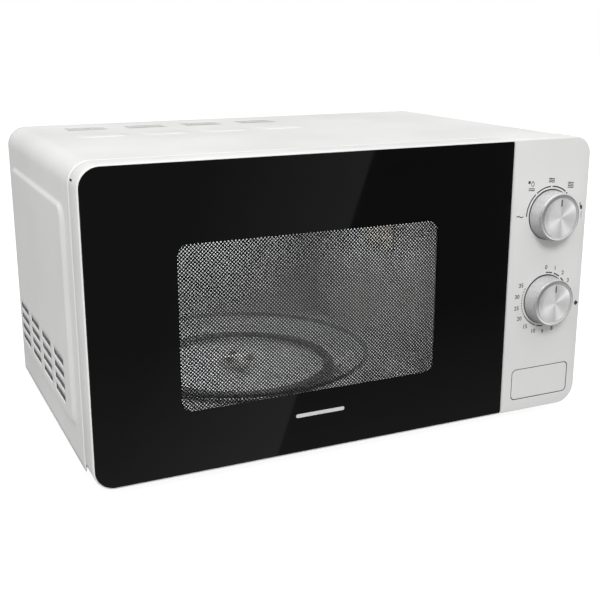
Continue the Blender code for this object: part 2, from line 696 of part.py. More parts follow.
def door_frame():
    sections = [(FRONT_Y, door_outline(0.5)), (FRONT_Y + 0.6, door_outline(0.0)),
                (DOOR_BACK_Y - 1.6, door_outline(0.0)), (DOOR_BACK_Y, door_outline(1.1))]
    frame = loft("door_frame", "y", sections)
    pocket = round_outline((-224.55, DOOR_RIGHT + 5), (10.95, 255.95), (15.8, 1, 1, 15.8), 8)
    cut(frame, plate("glass_pocket", "y", pocket, (FRONT_Y - 5, FRONT_Y + GLASS_THICK + GAP)))
    inside = round_outline((-223.4, 141.8), (12.4, 254.1), (14.6, 1, 1, 14.6), 8)
    hollow = plate("door_inside", "y", inside, (-149.3, DOOR_BACK_Y + 5), cutters)
    for z in ((5.0, 37.0), (229.5, 260.0)):
        cut(hollow, block("hinge_boss", (-230.0, -208.0), (-155.0, DOOR_BACK_Y + 10), z))
    cut(hollow, block("spring_shelf", (131.0, 150.0), (-152.0, -135.0), (228.3, 230.6)))
    cut(frame, baked(hollow))
    sight = round_outline((WINDOW_X[0] - 5, WINDOW_X[1] + 5), (WINDOW_Z[0] - 5, WINDOW_Z[1] + 5),
                          (14, 14, 14, 14), 4)
    cut(frame, plate("sight_hole", "y", sight, (-160, -140)))
    for low, high in hinge_heights():
        cut(frame, block("arm_slot", (-230.0, -216.0), (-140.3, DOOR_BACK_Y + 5),
                         (low - 0.4, high + 0.4)))
    cut(frame, rod("pin_hole", "z", (HINGE_X, HINGE_Y, 0), 2.4, (20.0, 35.0), 16))
    cut(frame, rod("pin_hole", "z", (HINGE_X, HINGE_Y, 0), 2.4, (232.0, 244.0), 16))
    return finish(baked(frame), WHITE_PLASTIC)


def door_glass():
    def outline(inset):
        return round_outline((-224.25 + inset, DOOR_RIGHT - inset), (11.25 + inset, 255.65 - inset),
                             (15.5 - inset, 1.2, 1.2, 15.5 - inset), 8)
    sections = [(FRONT_Y, outline(0.35)), (FRONT_Y + 0.35, outline(0.0)),
                (FRONT_Y + GLASS_THICK, outline(0.0))]
    return finish(loft("door_glass", "y", sections), BLACK_GLASS)


def door_screen():
    """Steel inner door: flat centre with a folded rim cut into choke fingers."""
    x = (-206.0, 130.6)
    z = (20.0, 246.0)
    tray = block("door_screen", x, (-148.9, -134.6), z)
    cut(tray, block("tray_inside", (x[0] + SHEET, x[1] - SHEET), (-148.1, -130.0),
                    (z[0] + SHEET, z[1] - SHEET)))
    fingers = []
    for place_x in spread(14, 23.0, 0.5 * (x[0] + x[1])):
        fingers.append(block("choke_gap", (place_x - 2, place_x + 2), (-143, -130),
                             (z[0] - 2, z[1] + 2), cutters))
    for place_z in spread(9, 23.0, 0.5 * (z[0] + z[1])):
        fingers.append(block("choke_gap", (x[0] - 2, x[1] + 2), (-143, -130),
                             (place_z - 2, place_z + 2), cutters))
    for tool in (fingers[:14], fingers[14:]):
        cut(tray, merged_tool("choke_gaps", tool))
    return finish(baked(tray), SCREEN_STEEL)


def door_film():
    outline = round_outline((-172.0, 99.0), (40.0, 210.0), (6, 6, 6, 6), 3)
    return finish(plate("door_film", "y", outline, (-134.0, -132.0)), CLEAR_SHEET)


def choke_cover():
    left, step, right = -222.9, -207.6, 141.4
    low, step_low, step_high, high = 12.8, 37.4, 229.1, 253.7
    outline = ((left, step_low), (step, step_low), (step, low), (right, low), (right, high),
               (step, high), (step, step_high), (left, step_high))
    cover = plate("choke_cover", "y", outline, (-131.6, -129.6))
    sight = round_outline((-166.0, 93.0), (46.0, 204.0), (9, 9, 9, 9), 4)
    cut(cover, plate("sight", "y", sight, (-135, -125)))
    for low_z in (69.0, 187.0):
        cut(cover, block("hook_slot", (131.2, 140.2), (-135, -125), (low_z, low_z + 18.0)))
    return finish(baked(cover), GREY_PLASTIC)


def door_latch():
    latch = block("door_latch", (133.0, 138.0), (-146.0, -136.0), (62.0, 214.0))
    for low in (70.0, 188.0):
        fuse(latch, block("hook", (133.0, 138.0), (-137.0, -111.5), (low + 4.0, low + 12.0)))
        fuse(latch, block("barb", (133.0, 138.0), (-116.3, -111.5), (low, low + 11.0)))
    return finish(baked(latch), NATURAL_PLASTIC)


def latch_spring():
    """Coil between the top of the latch and the shelf in the door."""
    low, high, radius, turns = 214.4, 228.0, 3.4, 5
    count = turns * 8
    points = []
    for step in range(count + 1):
        share = step / count
        angle = 2 * math.pi * turns * share
        height = low + 0.5 + (high - low - 1.0) * share
        points.append((135.5 + radius * math.cos(angle), -141.0 + radius * math.sin(angle),
                       height))
    curve = bpy.data.curves.new("latch_spring", "CURVE")
    curve.dimensions = "3D"
    curve.bevel_depth = 0.4 * MM
    curve.bevel_resolution = 1
    curve.use_fill_caps = True
    spline = curve.splines.new("POLY")
    spline.points.add(count)
    for point, (x, y, z) in zip(spline.points, points):
        point.co = (x * MM, y * MM, z * MM, 1.0)
    coil = bpy.data.objects.new("latch_spring", curve)
    parts.objects.link(coil)
    coil.data.materials.append(material(*BARE_STEEL))
    return coil


def hinge(name, low, high, pin_end):
    """Arm with a round head and a pin; its flange lies behind the front frame."""
    head = [(HINGE_X + 3.0 * math.cos(math.radians(180 + 18 * i)),
             HINGE_Y + 3.0 * math.sin(math.radians(180 + 18 * i))) for i in range(11)]
    outline = head + [(HINGE_X + 3.0, -122.7), (HINGE_X - 3.0, -122.7)]
    arm = plate(name, "z", outline, (low, high))
    fuse(arm, block("flange", (HINGE_X - 3.0, -204.0), (-123.9, -122.7), (low - 8, high + 1.5)
                    if pin_end < low else (low - 1.5, high + 8)))
    fuse(arm, rod("pin", "z", (HINGE_X, HINGE_Y, 0), 2.0,
                  (min(pin_end, low + 0.5), max(pin_end, high - 0.5)), 16))
    return finish(baked(arm), BARE_STEEL)


def hinges():
    (low_a, high_a), (low_b, high_b) = hinge_heights()
    hinge("hinge_bottom", low_a, high_a, 33.5)
    hinge("hinge_top", low_b, high_b, 233.0)


# ---------------------------------------------------------------- electrical parts
def magnetron():
    centre = (0, MAGNETRON_Y, MAGNETRON_Z)
    yoke = block("magnetron", (141.0, 196.0), (-12.0, 56.0), (131.0, 199.0))
    cut(yoke, block("yoke_inside", (142.5, 194.5), (-20.0, 65.0), (132.5, 197.5)))
    baked(yoke)
    fuse(yoke, rod("anode", "x", centre, 19.0, (142.0, 195.0), 28))
    for x in spread(7, 6.0, 168.5):
        fuse(yoke, block("fin", (x - 0.4, x + 0.4), (-11.0, 55.0), (132.0, 198.0)))
    fuse(yoke, rod("antenna", "x", centre, 7.5, (122.0, 142.0), 20))
    fuse(yoke, block("filter_box", (195.0, 219.0), (2.0, 42.0), (145.0, 185.0)))
    fuse(yoke, block("filter_plug", (203.0, 213.0), (-8.0, 3.0), (158.0, 172.0)))
    return finish(baked(yoke), ALUMINIUM)


def transformer():
    core = block("transformer_core", (141.0, 195.0), (22.0, 102.0), (12.0, 79.0))
    for y in ((38.0, 51.0), (73.0, 86.0)):
        cut(core, block("window", (130.0, 210.0), y, (27.0, 65.0)))
    fuse(core, block("foot", (128.0, 204.0), (19.0, 104.5), (11.4, 13.0)))
    finish(baked(core), SCREEN_STEEL)
    for name, low, high, out in (("primary_winding", 27.4, 44.5, 11.5),
                                 ("secondary_winding", 47.0, 64.6, 13.0)):
        outline = round_outline((141.0 - out, 195.0 + out), (38.3, 85.7), (5, 5, 5, 5), 3)
        coil = plate(name, "z", outline, (low, high))
        hole = block("leg", (140.7, 195.3), (50.7, 73.3), (20.0, 70.0))
        finish(baked(cut(coil, hole)), COPPER_WIRE)


def capacitor():
    outline = round_outline((150.0, 202.0), (-74.0, -42.0), (15.9, 15.9, 15.9, 15.9), 6)
    can = plate("capacitor", "z", outline, (11.4, 70.0))
    for x in (165.0, 187.0):
        fuse(can, block("terminal", (x - 2.5, x + 2.5), (-58.5, -57.5), (69.0, 80.0)))
    fuse(can, block("strap_toe", (172.0, 180.0), (-43.0, -28.0), (11.4, 12.7)))
    return finish(baked(can), ALUMINIUM)


def fan():
    centre = (FAN_X, 0, FAN_Z)
    shroud = block("fan_shroud", (122.0, 221.0), (128.0, 130.0), (110.0, 206.0))
    fuse(shroud, rod("tunnel", "y", centre, 44.5, (114.0, 129.0), 28))
    cut(shroud, rod("air_hole", "y", centre, 42.5, (110.0, 135.0), 28))
    for angle in (45, 225):
        x = FAN_X + 43.4 * math.cos(math.radians(angle))
        z = FAN_Z + 43.4 * math.sin(math.radians(angle))
        fuse(shroud, rod("post", "y", (x, 0, z), 3.4, (98.3, 120.0), 12))
    finish(baked(shroud), GREY_PLASTIC)

    motor = block("fan_motor", (FAN_X - 27, FAN_X + 27), (84.0, 98.0), (FAN_Z - 22, FAN_Z + 34))
    cut(motor, block("lamination_window", (FAN_X - 12, FAN_X + 12), (80.0, 102.0),
                     (FAN_Z + 14, FAN_Z + 22)))
    fuse(motor, rod("bearing", "y", centre, 8.0, (80.0, 101.0), 20))
    cut(motor, rod("rotor_hole", "y", centre, 2.2, (90.0, 105.0), 16))
    for x, z in ((30.7, 30.7), (-30.7, -30.7)):
        low_x, high_x = sorted((FAN_X + x * 0.6, FAN_X + x * 1.12))
        low_z, high_z = sorted((FAN_Z + z * 0.6, FAN_Z + z * 1.12))
        fuse(motor, block("mount", (low_x, high_x), (95.5, 98.0), (low_z, high_z)))
    finish(baked(motor), BARE_STEEL)

    blade = rod("fan_blade", "y", centre, 11.0, (107.0, 124.0), 24)
    fuse(blade, rod("fan_spindle", "y", centre, 1.8, (91.0, 110.0), 12))
    for index in range(5):
        vane = block("vane", (-9.0, 9.0), (-0.7, 0.7), (7.0, 39.5))
        turn = Matrix.Rotation(math.radians(72 * index), 4, "Y")
        pitch = Matrix.Rotation(math.radians(32), 4, "Z")
        vane.matrix_world = Matrix.Translation(Vector((FAN_X, 116.0, FAN_Z)) * MM) @ turn @ pitch
        fuse(blade, vane)
    finish(baked(blade), GREY_PLASTIC)


def oven_lamp():
    profile = ((0, 26.0), (4.5, 25.0), (8.0, 20.5), (8.6, 15.0), (6.5, 8.0), (6.0, 0.0),
               (9.5, 0.0), (9.5, -3.0), (7.0, -3.0), (7.0, -12.0), (0, -12.0))
    lamp = turned("oven_lamp", profile, (160.0, -70.0, 197.0), "x", 14)
    lamp.rotation_euler = (0.0, math.radians(-90), 0.0)
    finish(lamp, LAMP_GLASS)
    bracket = block("lamp_bracket", (157.0, 158.2), (-86.0, -54.0), (180.0, 214.0))
    cut(bracket, rod("socket_hole", "x", (0, -70.0, 197.0), 8.9, (150, 165), 20))
    fuse(bracket, block("bracket_leg", (117.6, 158.0), (-86.0, -54.0), (213.0, 214.2)))
    fuse(bracket, block("bracket_foot", (117.6, 118.8), (-86.0, -54.0), (205.0, 214.2)))
    finish(baked(bracket), BARE_STEEL)


def thermal_cutout():
    top = CAVITY_Z[1] + SHEET
    profile = ((0, 10.0), (7.5, 10.0), (7.5, 2.0), (8.6, 2.0), (8.6, 0.3), (0, 0.3))
    cutout = turned("thermal_cutout", profile, (60.0, 60.0, top), steps=20)
    fuse(cutout, block("lugs", (46.0, 74.0), (57.0, 63.0), (top + 0.3, top + 1.1)))
    finish(baked(cutout), GREY_PLASTIC)


def filter_board():
    board = block("filter_board", (150.0, 216.0), (-62.0, -12.0), (224.0, 225.6))
    fuse(board, block("choke_coil", (156.0, 176.0), (-56.0, -36.0), (225.0, 240.0)))
    fuse(board, block("film_capacitor", (182.0, 206.0), (-54.0, -44.0), (225.0, 241.0)))
    fuse(board, rod("fuse", "x", (0, -24.0, 229.4), 3.2, (168.0, 200.0), 12))
    for x in (169.0, 196.0):
        fuse(board, block("fuse_clip", (x, x + 4.0), (-28.0, -20.0), (225.0, 230.0)))
    finish(baked(board), BOARD_GREEN)


def build():
    outer_case()
    base_plate()
    feet()
    rear_panel()
    case_screws()
    cord_bushing()
    front_frame()
    cavity_shell()
    cavity_floor()
    cavity_rear()
    waveguide()
    waveguide_cover()
    glass_turntable()
    drive_coupler()
    roller_ring()
    rollers()
    turntable_motor()
    control_panel()
    dial_works()
    open_button()
    release_lever()
    latch_board()
    door_switches()
    door_frame()
    door_glass()
    door_screen()
    door_film()
    choke_cover()
    door_latch()
    latch_spring()
    hinges()
    magnetron()
    transformer()
    capacitor()
    fan()
    oven_lamp()
    thermal_cutout()
    filter_board()


build()
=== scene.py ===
import json
import math

import bmesh
import bpy
import numpy as np
from mathutils import Matrix, Vector


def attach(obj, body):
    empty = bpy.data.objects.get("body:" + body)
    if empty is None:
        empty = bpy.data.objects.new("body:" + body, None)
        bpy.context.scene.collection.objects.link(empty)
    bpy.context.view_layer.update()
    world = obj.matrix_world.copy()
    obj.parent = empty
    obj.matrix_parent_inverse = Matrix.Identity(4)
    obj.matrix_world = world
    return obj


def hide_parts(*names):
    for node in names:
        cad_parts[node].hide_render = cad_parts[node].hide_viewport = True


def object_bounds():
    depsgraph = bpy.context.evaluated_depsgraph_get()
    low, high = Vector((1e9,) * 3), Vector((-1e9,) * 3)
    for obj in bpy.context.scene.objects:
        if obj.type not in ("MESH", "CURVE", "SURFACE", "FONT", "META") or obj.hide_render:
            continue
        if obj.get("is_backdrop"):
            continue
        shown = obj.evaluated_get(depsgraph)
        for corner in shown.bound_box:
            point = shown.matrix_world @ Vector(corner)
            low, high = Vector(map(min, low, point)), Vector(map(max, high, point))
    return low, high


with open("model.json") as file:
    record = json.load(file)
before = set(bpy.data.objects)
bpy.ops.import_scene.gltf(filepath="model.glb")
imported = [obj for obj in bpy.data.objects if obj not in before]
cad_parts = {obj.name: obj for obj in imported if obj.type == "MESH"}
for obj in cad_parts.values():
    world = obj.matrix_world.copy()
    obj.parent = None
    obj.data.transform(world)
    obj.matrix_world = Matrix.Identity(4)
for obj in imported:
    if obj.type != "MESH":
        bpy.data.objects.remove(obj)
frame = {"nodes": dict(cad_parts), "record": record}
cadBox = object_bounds()
print("frame loaded with", len(frame["nodes"]), "nodes")

scene = bpy.context.scene

# Sizes are in millimetres until they reach a mesh or a light
oven = {
    "frontY": -155.75,
    "seamY": -128.0,
    "caseBackY": 137.25,
    "doorBackY": -129.0,
    "frontHalf": 225.75,
    "frontLow": 10.0,
    "frontTop": 256.5,
    "doorRight": 144.05,
    "panelLeft": 144.65,
    "dialX": 185.3,
    "powerZ": 189.55,
    "timerZ": 112.95,
    "tableX": -41.0,
    "tableY": 20.0,
}


def linearColour(text):
    channels = [int(text[i:i + 2], 16) / 255.0 for i in (1, 3, 5)]
    linear = [c / 12.92 if c <= 0.04045 else ((c + 0.055) / 1.055) ** 2.4 for c in channels]
    return (*linear, 1.0)


def addNode(tree, kind, settings=None, **links):
    node = tree.nodes.new("ShaderNode" + kind)
    for key, value in (settings or {}).items():
        setattr(node, key, value)
    for key, value in links.items():
        place = int(key[1:]) if key[1:].isdigit() else key.replace("_", " ")
        if isinstance(value, bpy.types.NodeSocket):
            tree.links.new(value, node.inputs[place])
        else:
            node.inputs[place].default_value = value
    return node


def newMaterial(name):
    made = bpy.data.materials.new(name)
    made.use_nodes = True
    made.node_tree.nodes.clear()
    return made, made.node_tree


def maths(tree, operation, *values):
    links = {"i%d" % i: value for i, value in enumerate(values)}
    return addNode(tree, "Math", {"operation": operation}, **links).outputs[0]


def twoTone(tree, factor, dark, light, ends=(0.0, 1.0)):
    ramp = addNode(tree, "ValToRGB", Fac=factor)
    for stop, place, tint in zip(ramp.color_ramp.elements, ends, (dark, light)):
        stop.position = place
        stop.color = linearColour(tint)
    return ramp.outputs["Color"]


def surfaced(made, tree, **links):
    shader = addNode(tree, "BsdfPrincipled", **links)
    addNode(tree, "OutputMaterial", Surface=shader.outputs[0])
    return made


# Grained finishes share one layout: a noise in object space at a real grain size moves the
# colour between two close tones, shifts the roughness a little and lifts a shallow bump
def grainedMaterial(name, dark, light, grainMm, cloudMm, reliefMm, roughness, bump=0.3,
                    ior=1.5, metallic=0.0, alpha=1.0, stretch=None):
    made, tree = newMaterial(name)
    place = addNode(tree, "TexCoord").outputs["Object"]
    if stretch:
        place = addNode(tree, "Mapping", Vector=place, Scale=stretch).outputs["Vector"]
    fine = addNode(tree, "TexNoise", Vector=place, Scale=1000.0 / grainMm, Detail=3.0,
                   Roughness=0.6)
    broad = addNode(tree, "TexNoise", Vector=place, Scale=1000.0 / cloudMm, Detail=2.0)
    share = maths(tree, "MULTIPLY", fine.outputs["Fac"], broad.outputs["Fac"])
    gloss = addNode(tree, "MapRange", Value=broad.outputs["Fac"], i1=0.3, i2=0.7,
                    i3=roughness[0], i4=roughness[1])
    relief = addNode(tree, "Bump", Height=fine.outputs["Fac"], Strength=bump,
                     Distance=reliefMm * 0.001)
    bending = {} if metallic else {"IOR": ior}
    return surfaced(made, tree, Base_Color=twoTone(tree, share, dark, light, (0.12, 0.38)),
                    Roughness=gloss.outputs[0], Normal=relief.outputs["Normal"],
                    Metallic=metallic, Alpha=alpha, **bending)


# Baked white enamel paint on pressed sheet: even white with a faint orange peel
casePaint = grainedMaterial(
    "white baked enamel paint", "#E0E0DF", "#E7E7E6", grainMm=1.6, cloudMm=90.0, reliefMm=0.03,
    roughness=(0.36, 0.42), bump=0.25)
# Spark-eroded white ABS: soft satin white that hides fingerprints
panelPlastic = grainedMaterial(
    "white moulded ABS", "#DEDEDD", "#E5E5E4", grainMm=0.45, cloudMm=70.0, reliefMm=0.018,
    roughness=(0.4, 0.47), ior=1.53)
# Grey porcelain enamel fired on steel: small dark flecks under a soft gloss
cavityEnamel = grainedMaterial(
    "grey cavity enamel", "#9C9D9B", "#B2B3B1", grainMm=1.1, cloudMm=35.0, reliefMm=0.03,
    roughness=(0.3, 0.42))
# Black stove enamel on the inner door sheet: near black, dull, slightly lighter where it pools
screenPaint = grainedMaterial(
    "black enamelled screen steel", "#08080A", "#101012", grainMm=0.6, cloudMm=30.0,
    reliefMm=0.01, roughness=(0.42, 0.55))
# Glass-filled nylon: dark neutral grey, matt and a little mottled. It also paints the shadow
# rings round the button and behind the dials
darkNylonAndShadow = grainedMaterial(
    "dark moulded nylon", "#262729", "#343537", grainMm=0.8, cloudMm=14.0, reliefMm=0.02,
    roughness=(0.45, 0.58), bump=0.4, ior=1.53)
# Brown heat-proof nylon: the roller ring, a warm dark band through the tray
brownNylon = grainedMaterial(
    "brown heat-proof nylon", "#2C2522", "#40362F", grainMm=0.7, cloudMm=22.0, reliefMm=0.02,
    roughness=(0.4, 0.5))
# Unfilled nylon: milky grey-cream with a waxy gloss
naturalNylon = grainedMaterial(
    "natural moulded nylon", "#B9B7B1", "#CBC9C4", grainMm=1.2, cloudMm=12.0, reliefMm=0.012,
    roughness=(0.36, 0.46), ior=1.53)
# Vulcanised rubber: black, dry, dusty along its wear
blackRubber = grainedMaterial(
    "black vulcanised rubber", "#161616", "#262525", grainMm=0.7, cloudMm=9.0, reliefMm=0.03,
    roughness=(0.68, 0.82), bump=0.5, ior=1.52)
# Drawn aluminium fins and cans: bright with fine drawing lines along one way
drawnAluminium = grainedMaterial(
    "drawn aluminium", "#C4C5C8", "#DEDFE1", grainMm=0.7, cloudMm=25.0, reliefMm=0.008,
    roughness=(0.26, 0.38), bump=0.4, metallic=1.0, stretch=(1.0, 0.08, 1.0))
# Laminated silicon steel: dark blue-grey with the edges of the stacked sheets
coreIron = grainedMaterial(
    "varnished core laminations", "#3B3F45", "#62666B", grainMm=0.9, cloudMm=20.0, reliefMm=0.03,
    roughness=(0.42, 0.55), bump=0.5, metallic=0.8, stretch=(1.0, 0.05, 1.0))
# Enamelled copper wire laid in turns: warm red-brown ridges one wire apart
copperWire = grainedMaterial(
    "enamelled copper wire", "#7A3A1E", "#B4643A", grainMm=1.0, cloudMm=16.0, reliefMm=0.08,
    roughness=(0.28, 0.4), bump=0.7, metallic=0.9, stretch=(0.1, 0.1, 1.0))
# Phlogopite mica sheet: pale brown flakes with a pearly surface
micaSheet = grainedMaterial(
    "pressed mica sheet", "#A5A196", "#B9B5AA", grainMm=2.4, cloudMm=11.0, reliefMm=0.02,
    roughness=(0.34, 0.5), bump=0.4, ior=1.58)
# Glass epoxy laminate with solder mask: deep green with the weave just showing
boardLaminate = grainedMaterial(
    "green board laminate", "#1C4A2A", "#2C6339", grainMm=0.9, cloudMm=8.0, reliefMm=0.02,
    roughness=(0.32, 0.45), bump=0.5, ior=1.55)
# Clear polyester sheet: almost nothing to see but a soft sheen
polyesterSheet = grainedMaterial(
    "clear polyester sheet", "#C9CCCD", "#DDE0E0", grainMm=4.0, cloudMm=50.0, reliefMm=0.004,
    roughness=(0.08, 0.14), bump=0.2, ior=1.6, alpha=0.08)
# Pressed soda-lime glass of the tray: faint green-grey, polished, light ripples
trayGlass = grainedMaterial(
    "pressed tray glass", "#A3ABA8", "#B4BAB8", grainMm=9.0, cloudMm=45.0, reliefMm=0.02,
    roughness=(0.03, 0.07), bump=0.2, ior=1.52, alpha=0.1)
# Painted shade: the steep rim of the same glass is drawn darker and denser, standing in for the
# light that the rim bends away
shadedTrayRimGlass = grainedMaterial(
    "tray glass rim", "#454A48", "#5A5F5D", grainMm=9.0, cloudMm=45.0, reliefMm=0.02,
    roughness=(0.04, 0.08), bump=0.2, ior=1.52, alpha=0.22)
# Frosted envelope of the lamp: warm white, slightly see-through
lampGlass = grainedMaterial(
    "frosted lamp glass", "#EFE8D4", "#FBF6E8", grainMm=0.5, cloudMm=8.0, reliefMm=0.01,
    roughness=(0.2, 0.3), bump=0.2, alpha=0.7)
# Unprinted part of the front glass: clear, with a thin neutral veil
clearPane = grainedMaterial(
    "clear front glass", "#0A0A0B", "#0D0D0E", grainMm=12.0, cloudMm=80.0, reliefMm=0.001,
    roughness=(0.03, 0.05), bump=0.05, ior=1.52, alpha=0.1)
# Rolled steel left bare with a dull oxide, drawn dark grey as painted shade for the dark space
# behind: the inside of the louvres
shadedBareSteel = grainedMaterial(
    "bare rolled steel", "#7C7D7D", "#929393", grainMm=1.5, cloudMm=14.0, reliefMm=0.01,
    roughness=(0.5, 0.62), bump=0.2, metallic=0.1)
# Screen-printed ink: flat dark grey with slightly ragged cover
printInk = grainedMaterial(
    "dark grey screen print", "#262627", "#323233", grainMm=0.3, cloudMm=5.0, reliefMm=0.004,
    roughness=(0.5, 0.6))
# Light ink baked on the glass: pale warm grey
paleInk = grainedMaterial(
    "pale grey glass print", "#CFCFCE", "#DCDCDA", grainMm=0.3, cloudMm=5.0, reliefMm=0.003,
    roughness=(0.4, 0.5))


# Soda-lime glass printed black behind: deep black, mirror gloss, the least trace of wiping
def backPrintedGlass():
    made, tree = newMaterial("black back-printed glass")
    place = addNode(tree, "TexCoord").outputs["Object"]
    wiped = addNode(tree, "Mapping", Vector=place, Scale=(1.0, 1.0, 3.0),
                    Rotation=(0.0, 0.6, 0.0))
    smear = addNode(tree, "TexNoise", Vector=wiped.outputs["Vector"], Scale=1000.0 / 55.0,
                    Detail=4.0).outputs["Fac"]
    gloss = addNode(tree, "MapRange", Value=smear, i1=0.35, i2=0.7, i3=0.03, i4=0.055)
    return surfaced(made, tree, Base_Color=twoTone(tree, smear, "#060606", "#090909"),
                    Roughness=gloss.outputs[0], IOR=1.52)


blackGlass = backPrintedGlass()


# Hot-dip galvanised sheet: grey zinc with spangle crystals, each with its own sheen
def galvanisedSheet(crystalMm, grainMm):
    made, tree = newMaterial("galvanised sheet steel")
    place = addNode(tree, "TexCoord").outputs["Object"]
    crystal = addNode(tree, "TexVoronoi", Vector=place, Scale=1000.0 / crystalMm)
    grain = addNode(tree, "TexNoise", Vector=place, Scale=1000.0 / grainMm, Detail=2.0)
    shade = addNode(tree, "SeparateColor", Color=crystal.outputs["Color"])
    gloss = addNode(tree, "MapRange", Value=shade.outputs[1], i3=0.34, i4=0.5)
    bump = addNode(tree, "Bump", Height=grain.outputs["Fac"], Strength=0.3, Distance=0.00002)
    return surfaced(made, tree, Roughness=gloss.outputs[0], Normal=bump.outputs["Normal"],
                    Base_Color=twoTone(tree, shade.outputs[0], "#B9BCBE", "#C9CCCE"),
                    Metallic=0.85)


zincSheet = galvanisedSheet(5.0, 0.8)


# Bead-blasted lacquer with aluminium flake. Painted shade: the tone darkens toward the lower
# side of the dial, as the underside of a knob does in a light from above
def flakeLacquer(flakeMm, blastMm):
    made, tree = newMaterial("silver flake lacquer")
    coords = addNode(tree, "TexCoord")
    place = coords.outputs["Object"]
    flake = addNode(tree, "TexVoronoi", Vector=place, Scale=1000.0 / flakeMm)
    blast = addNode(tree, "TexNoise", Vector=place, Scale=1000.0 / blastMm, Detail=3.0)
    sparkle = addNode(tree, "SeparateColor", Color=flake.outputs["Color"]).outputs[0]
    bump = addNode(tree, "Bump", Height=blast.outputs["Fac"], Strength=0.35,
                   Distance=0.00003)
    parts = addNode(tree, "SeparateXYZ", Vector=coords.outputs["Generated"])
    paintedShade = addNode(tree, "MapRange", {"interpolation_type": "SMOOTHSTEP"},
                     Value=parts.outputs["Z"], i1=0.0, i2=0.75, i3=0.38, i4=1.0)
    mixed = addNode(tree, "Mix", {"data_type": "RGBA", "blend_type": "MULTIPLY"}, i0=1.0,
                    i6=twoTone(tree, sparkle, "#C9CACA", "#EDEDED"), i7=paintedShade.outputs[0])
    return surfaced(made, tree, Base_Color=mixed.outputs[2], Roughness=0.36, Metallic=0.55,
                    Normal=bump.outputs["Normal"])


shadedSilverLacquer = flakeLacquer(0.5, 0.7)


# Aluminium turned on a lathe: fine rings spread the light into radial wedges. Painted light:
# the base colour paints these bright and dark wedges by the angle round the middle
def turnedMetal(finish):
    made, tree = newMaterial(finish["name"])
    coords = addNode(tree, "TexCoord")
    parts = addNode(tree, "SeparateXYZ", Vector=coords.outputs["Generated"])
    across = maths(tree, "SUBTRACT", parts.outputs["X"], 0.5)
    up = maths(tree, "SUBTRACT", parts.outputs["Z"], 0.5)
    turn = addNode(tree, "MapRange", Value=maths(tree, "ARCTAN2", across, up), i1=-math.pi,
                   i2=math.pi)
    paintedWedges = addNode(tree, "ValToRGB", Fac=turn.outputs[0])
    elements = paintedWedges.color_ramp.elements
    ends = {finish["stops"][0][0]: 0, finish["stops"][-1][0]: -1}
    for degrees, tint in finish["stops"]:
        place = (degrees + 180) / 360
        stop = elements[ends[degrees]] if degrees in ends else elements.new(place)
        stop.position = place
        stop.color = linearColour(tint)
    rings = addNode(tree, "TexNoise", Vector=coords.outputs["Object"], Scale=1000.0 / 0.9,
                    Detail=2.0)
    low, high = finish["roughness"]
    gloss = addNode(tree, "MapRange", Value=rings.outputs["Fac"], i3=low, i4=high)
    tangent = addNode(tree, "Tangent", {"direction_type": "RADIAL", "axis": "Y"})
    return surfaced(made, tree, Base_Color=paintedWedges.outputs["Color"],
                    Roughness=gloss.outputs[0], Metallic=finish["metallic"],
                    Anisotropic=0.5, Tangent=tangent.outputs[0])


# Turned dial face: the stops are painted highlights, bright and dark wedges by angle
spunAluminiumPaintedWedges = turnedMetal({
    "name": "lathe-turned aluminium", "roughness": (0.32, 0.4), "metallic": 0.45,
    "stops": ((-180, "#CECECE"), (-165, "#DDDDDD"), (-145, "#EFEFEF"), (-122, "#FDFDFD"),
              (-106, "#F0F0F0"), (-94, "#DDDDDD"), (-80, "#D6D6D6"), (-50, "#DBDBDB"),
              (-25, "#E4E4E4"), (-3, "#DCDCDC"), (3, "#C9C9C9"), (25, "#D0D0D0"),
              (40, "#DFDFDF"), (50, "#F3F3F3"), (59, "#FCFCFC"), (70, "#E6E6E6"),
              (82, "#D0D0D0"), (105, "#C8C8C8"), (128, "#D2D2D2"), (145, "#EEEEEE"),
              (158, "#F6F6F6"), (170, "#E7E7E7"), (180, "#CECECE")),
})
# Satin-polished rim of the dials with blurred reflections; the stops paint a reflection, pale
# below and greyer above
satinRimPaintedReflection = turnedMetal({
    "name": "satin polished aluminium", "roughness": (0.34, 0.4), "metallic": 0.85,
    "stops": ((-180, "#F0F0F0"), (-150, "#FFFFFF"), (-105, "#FFFFFF"), (-80, "#D8D8D8"),
              (-40, "#C0C0C0"), (0, "#B2B2B2"), (40, "#B8B8B8"), (80, "#CFCFCF"),
              (110, "#E6E6E6"), (140, "#F6F6F6"), (180, "#F0F0F0")),
})
print("materials made")


# Mesh helpers
def makePiece(name, verts, faces, finish, body, stands=(), slot=None, sharp=34.0):
    mesh = bpy.data.meshes.new(name)
    mesh.from_pydata([(x * 0.001, y * 0.001, z * 0.001) for x, y, z in verts], [], faces)
    bm = bmesh.new()
    bm.from_mesh(mesh)
    bmesh.ops.remove_doubles(bm, verts=bm.verts, dist=0.0000005)
    bmesh.ops.recalc_face_normals(bm, faces=bm.faces)
    bm.to_mesh(mesh)
    bm.free()
    return settle(bpy.data.objects.new(name, mesh), finish, body, stands, sharp)


def settle(piece, finish, body, stands=(), sharp=34.0):
    if piece.name not in scene.collection.objects:
        scene.collection.objects.link(piece)
    piece.data.materials.clear()
    piece.data.materials.append(finish)
    piece.data.shade_smooth()
    piece.data.set_sharp_from_angle(angle=math.radians(sharp))
    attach(piece, body)
    if stands:
        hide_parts(*stands)
    return piece


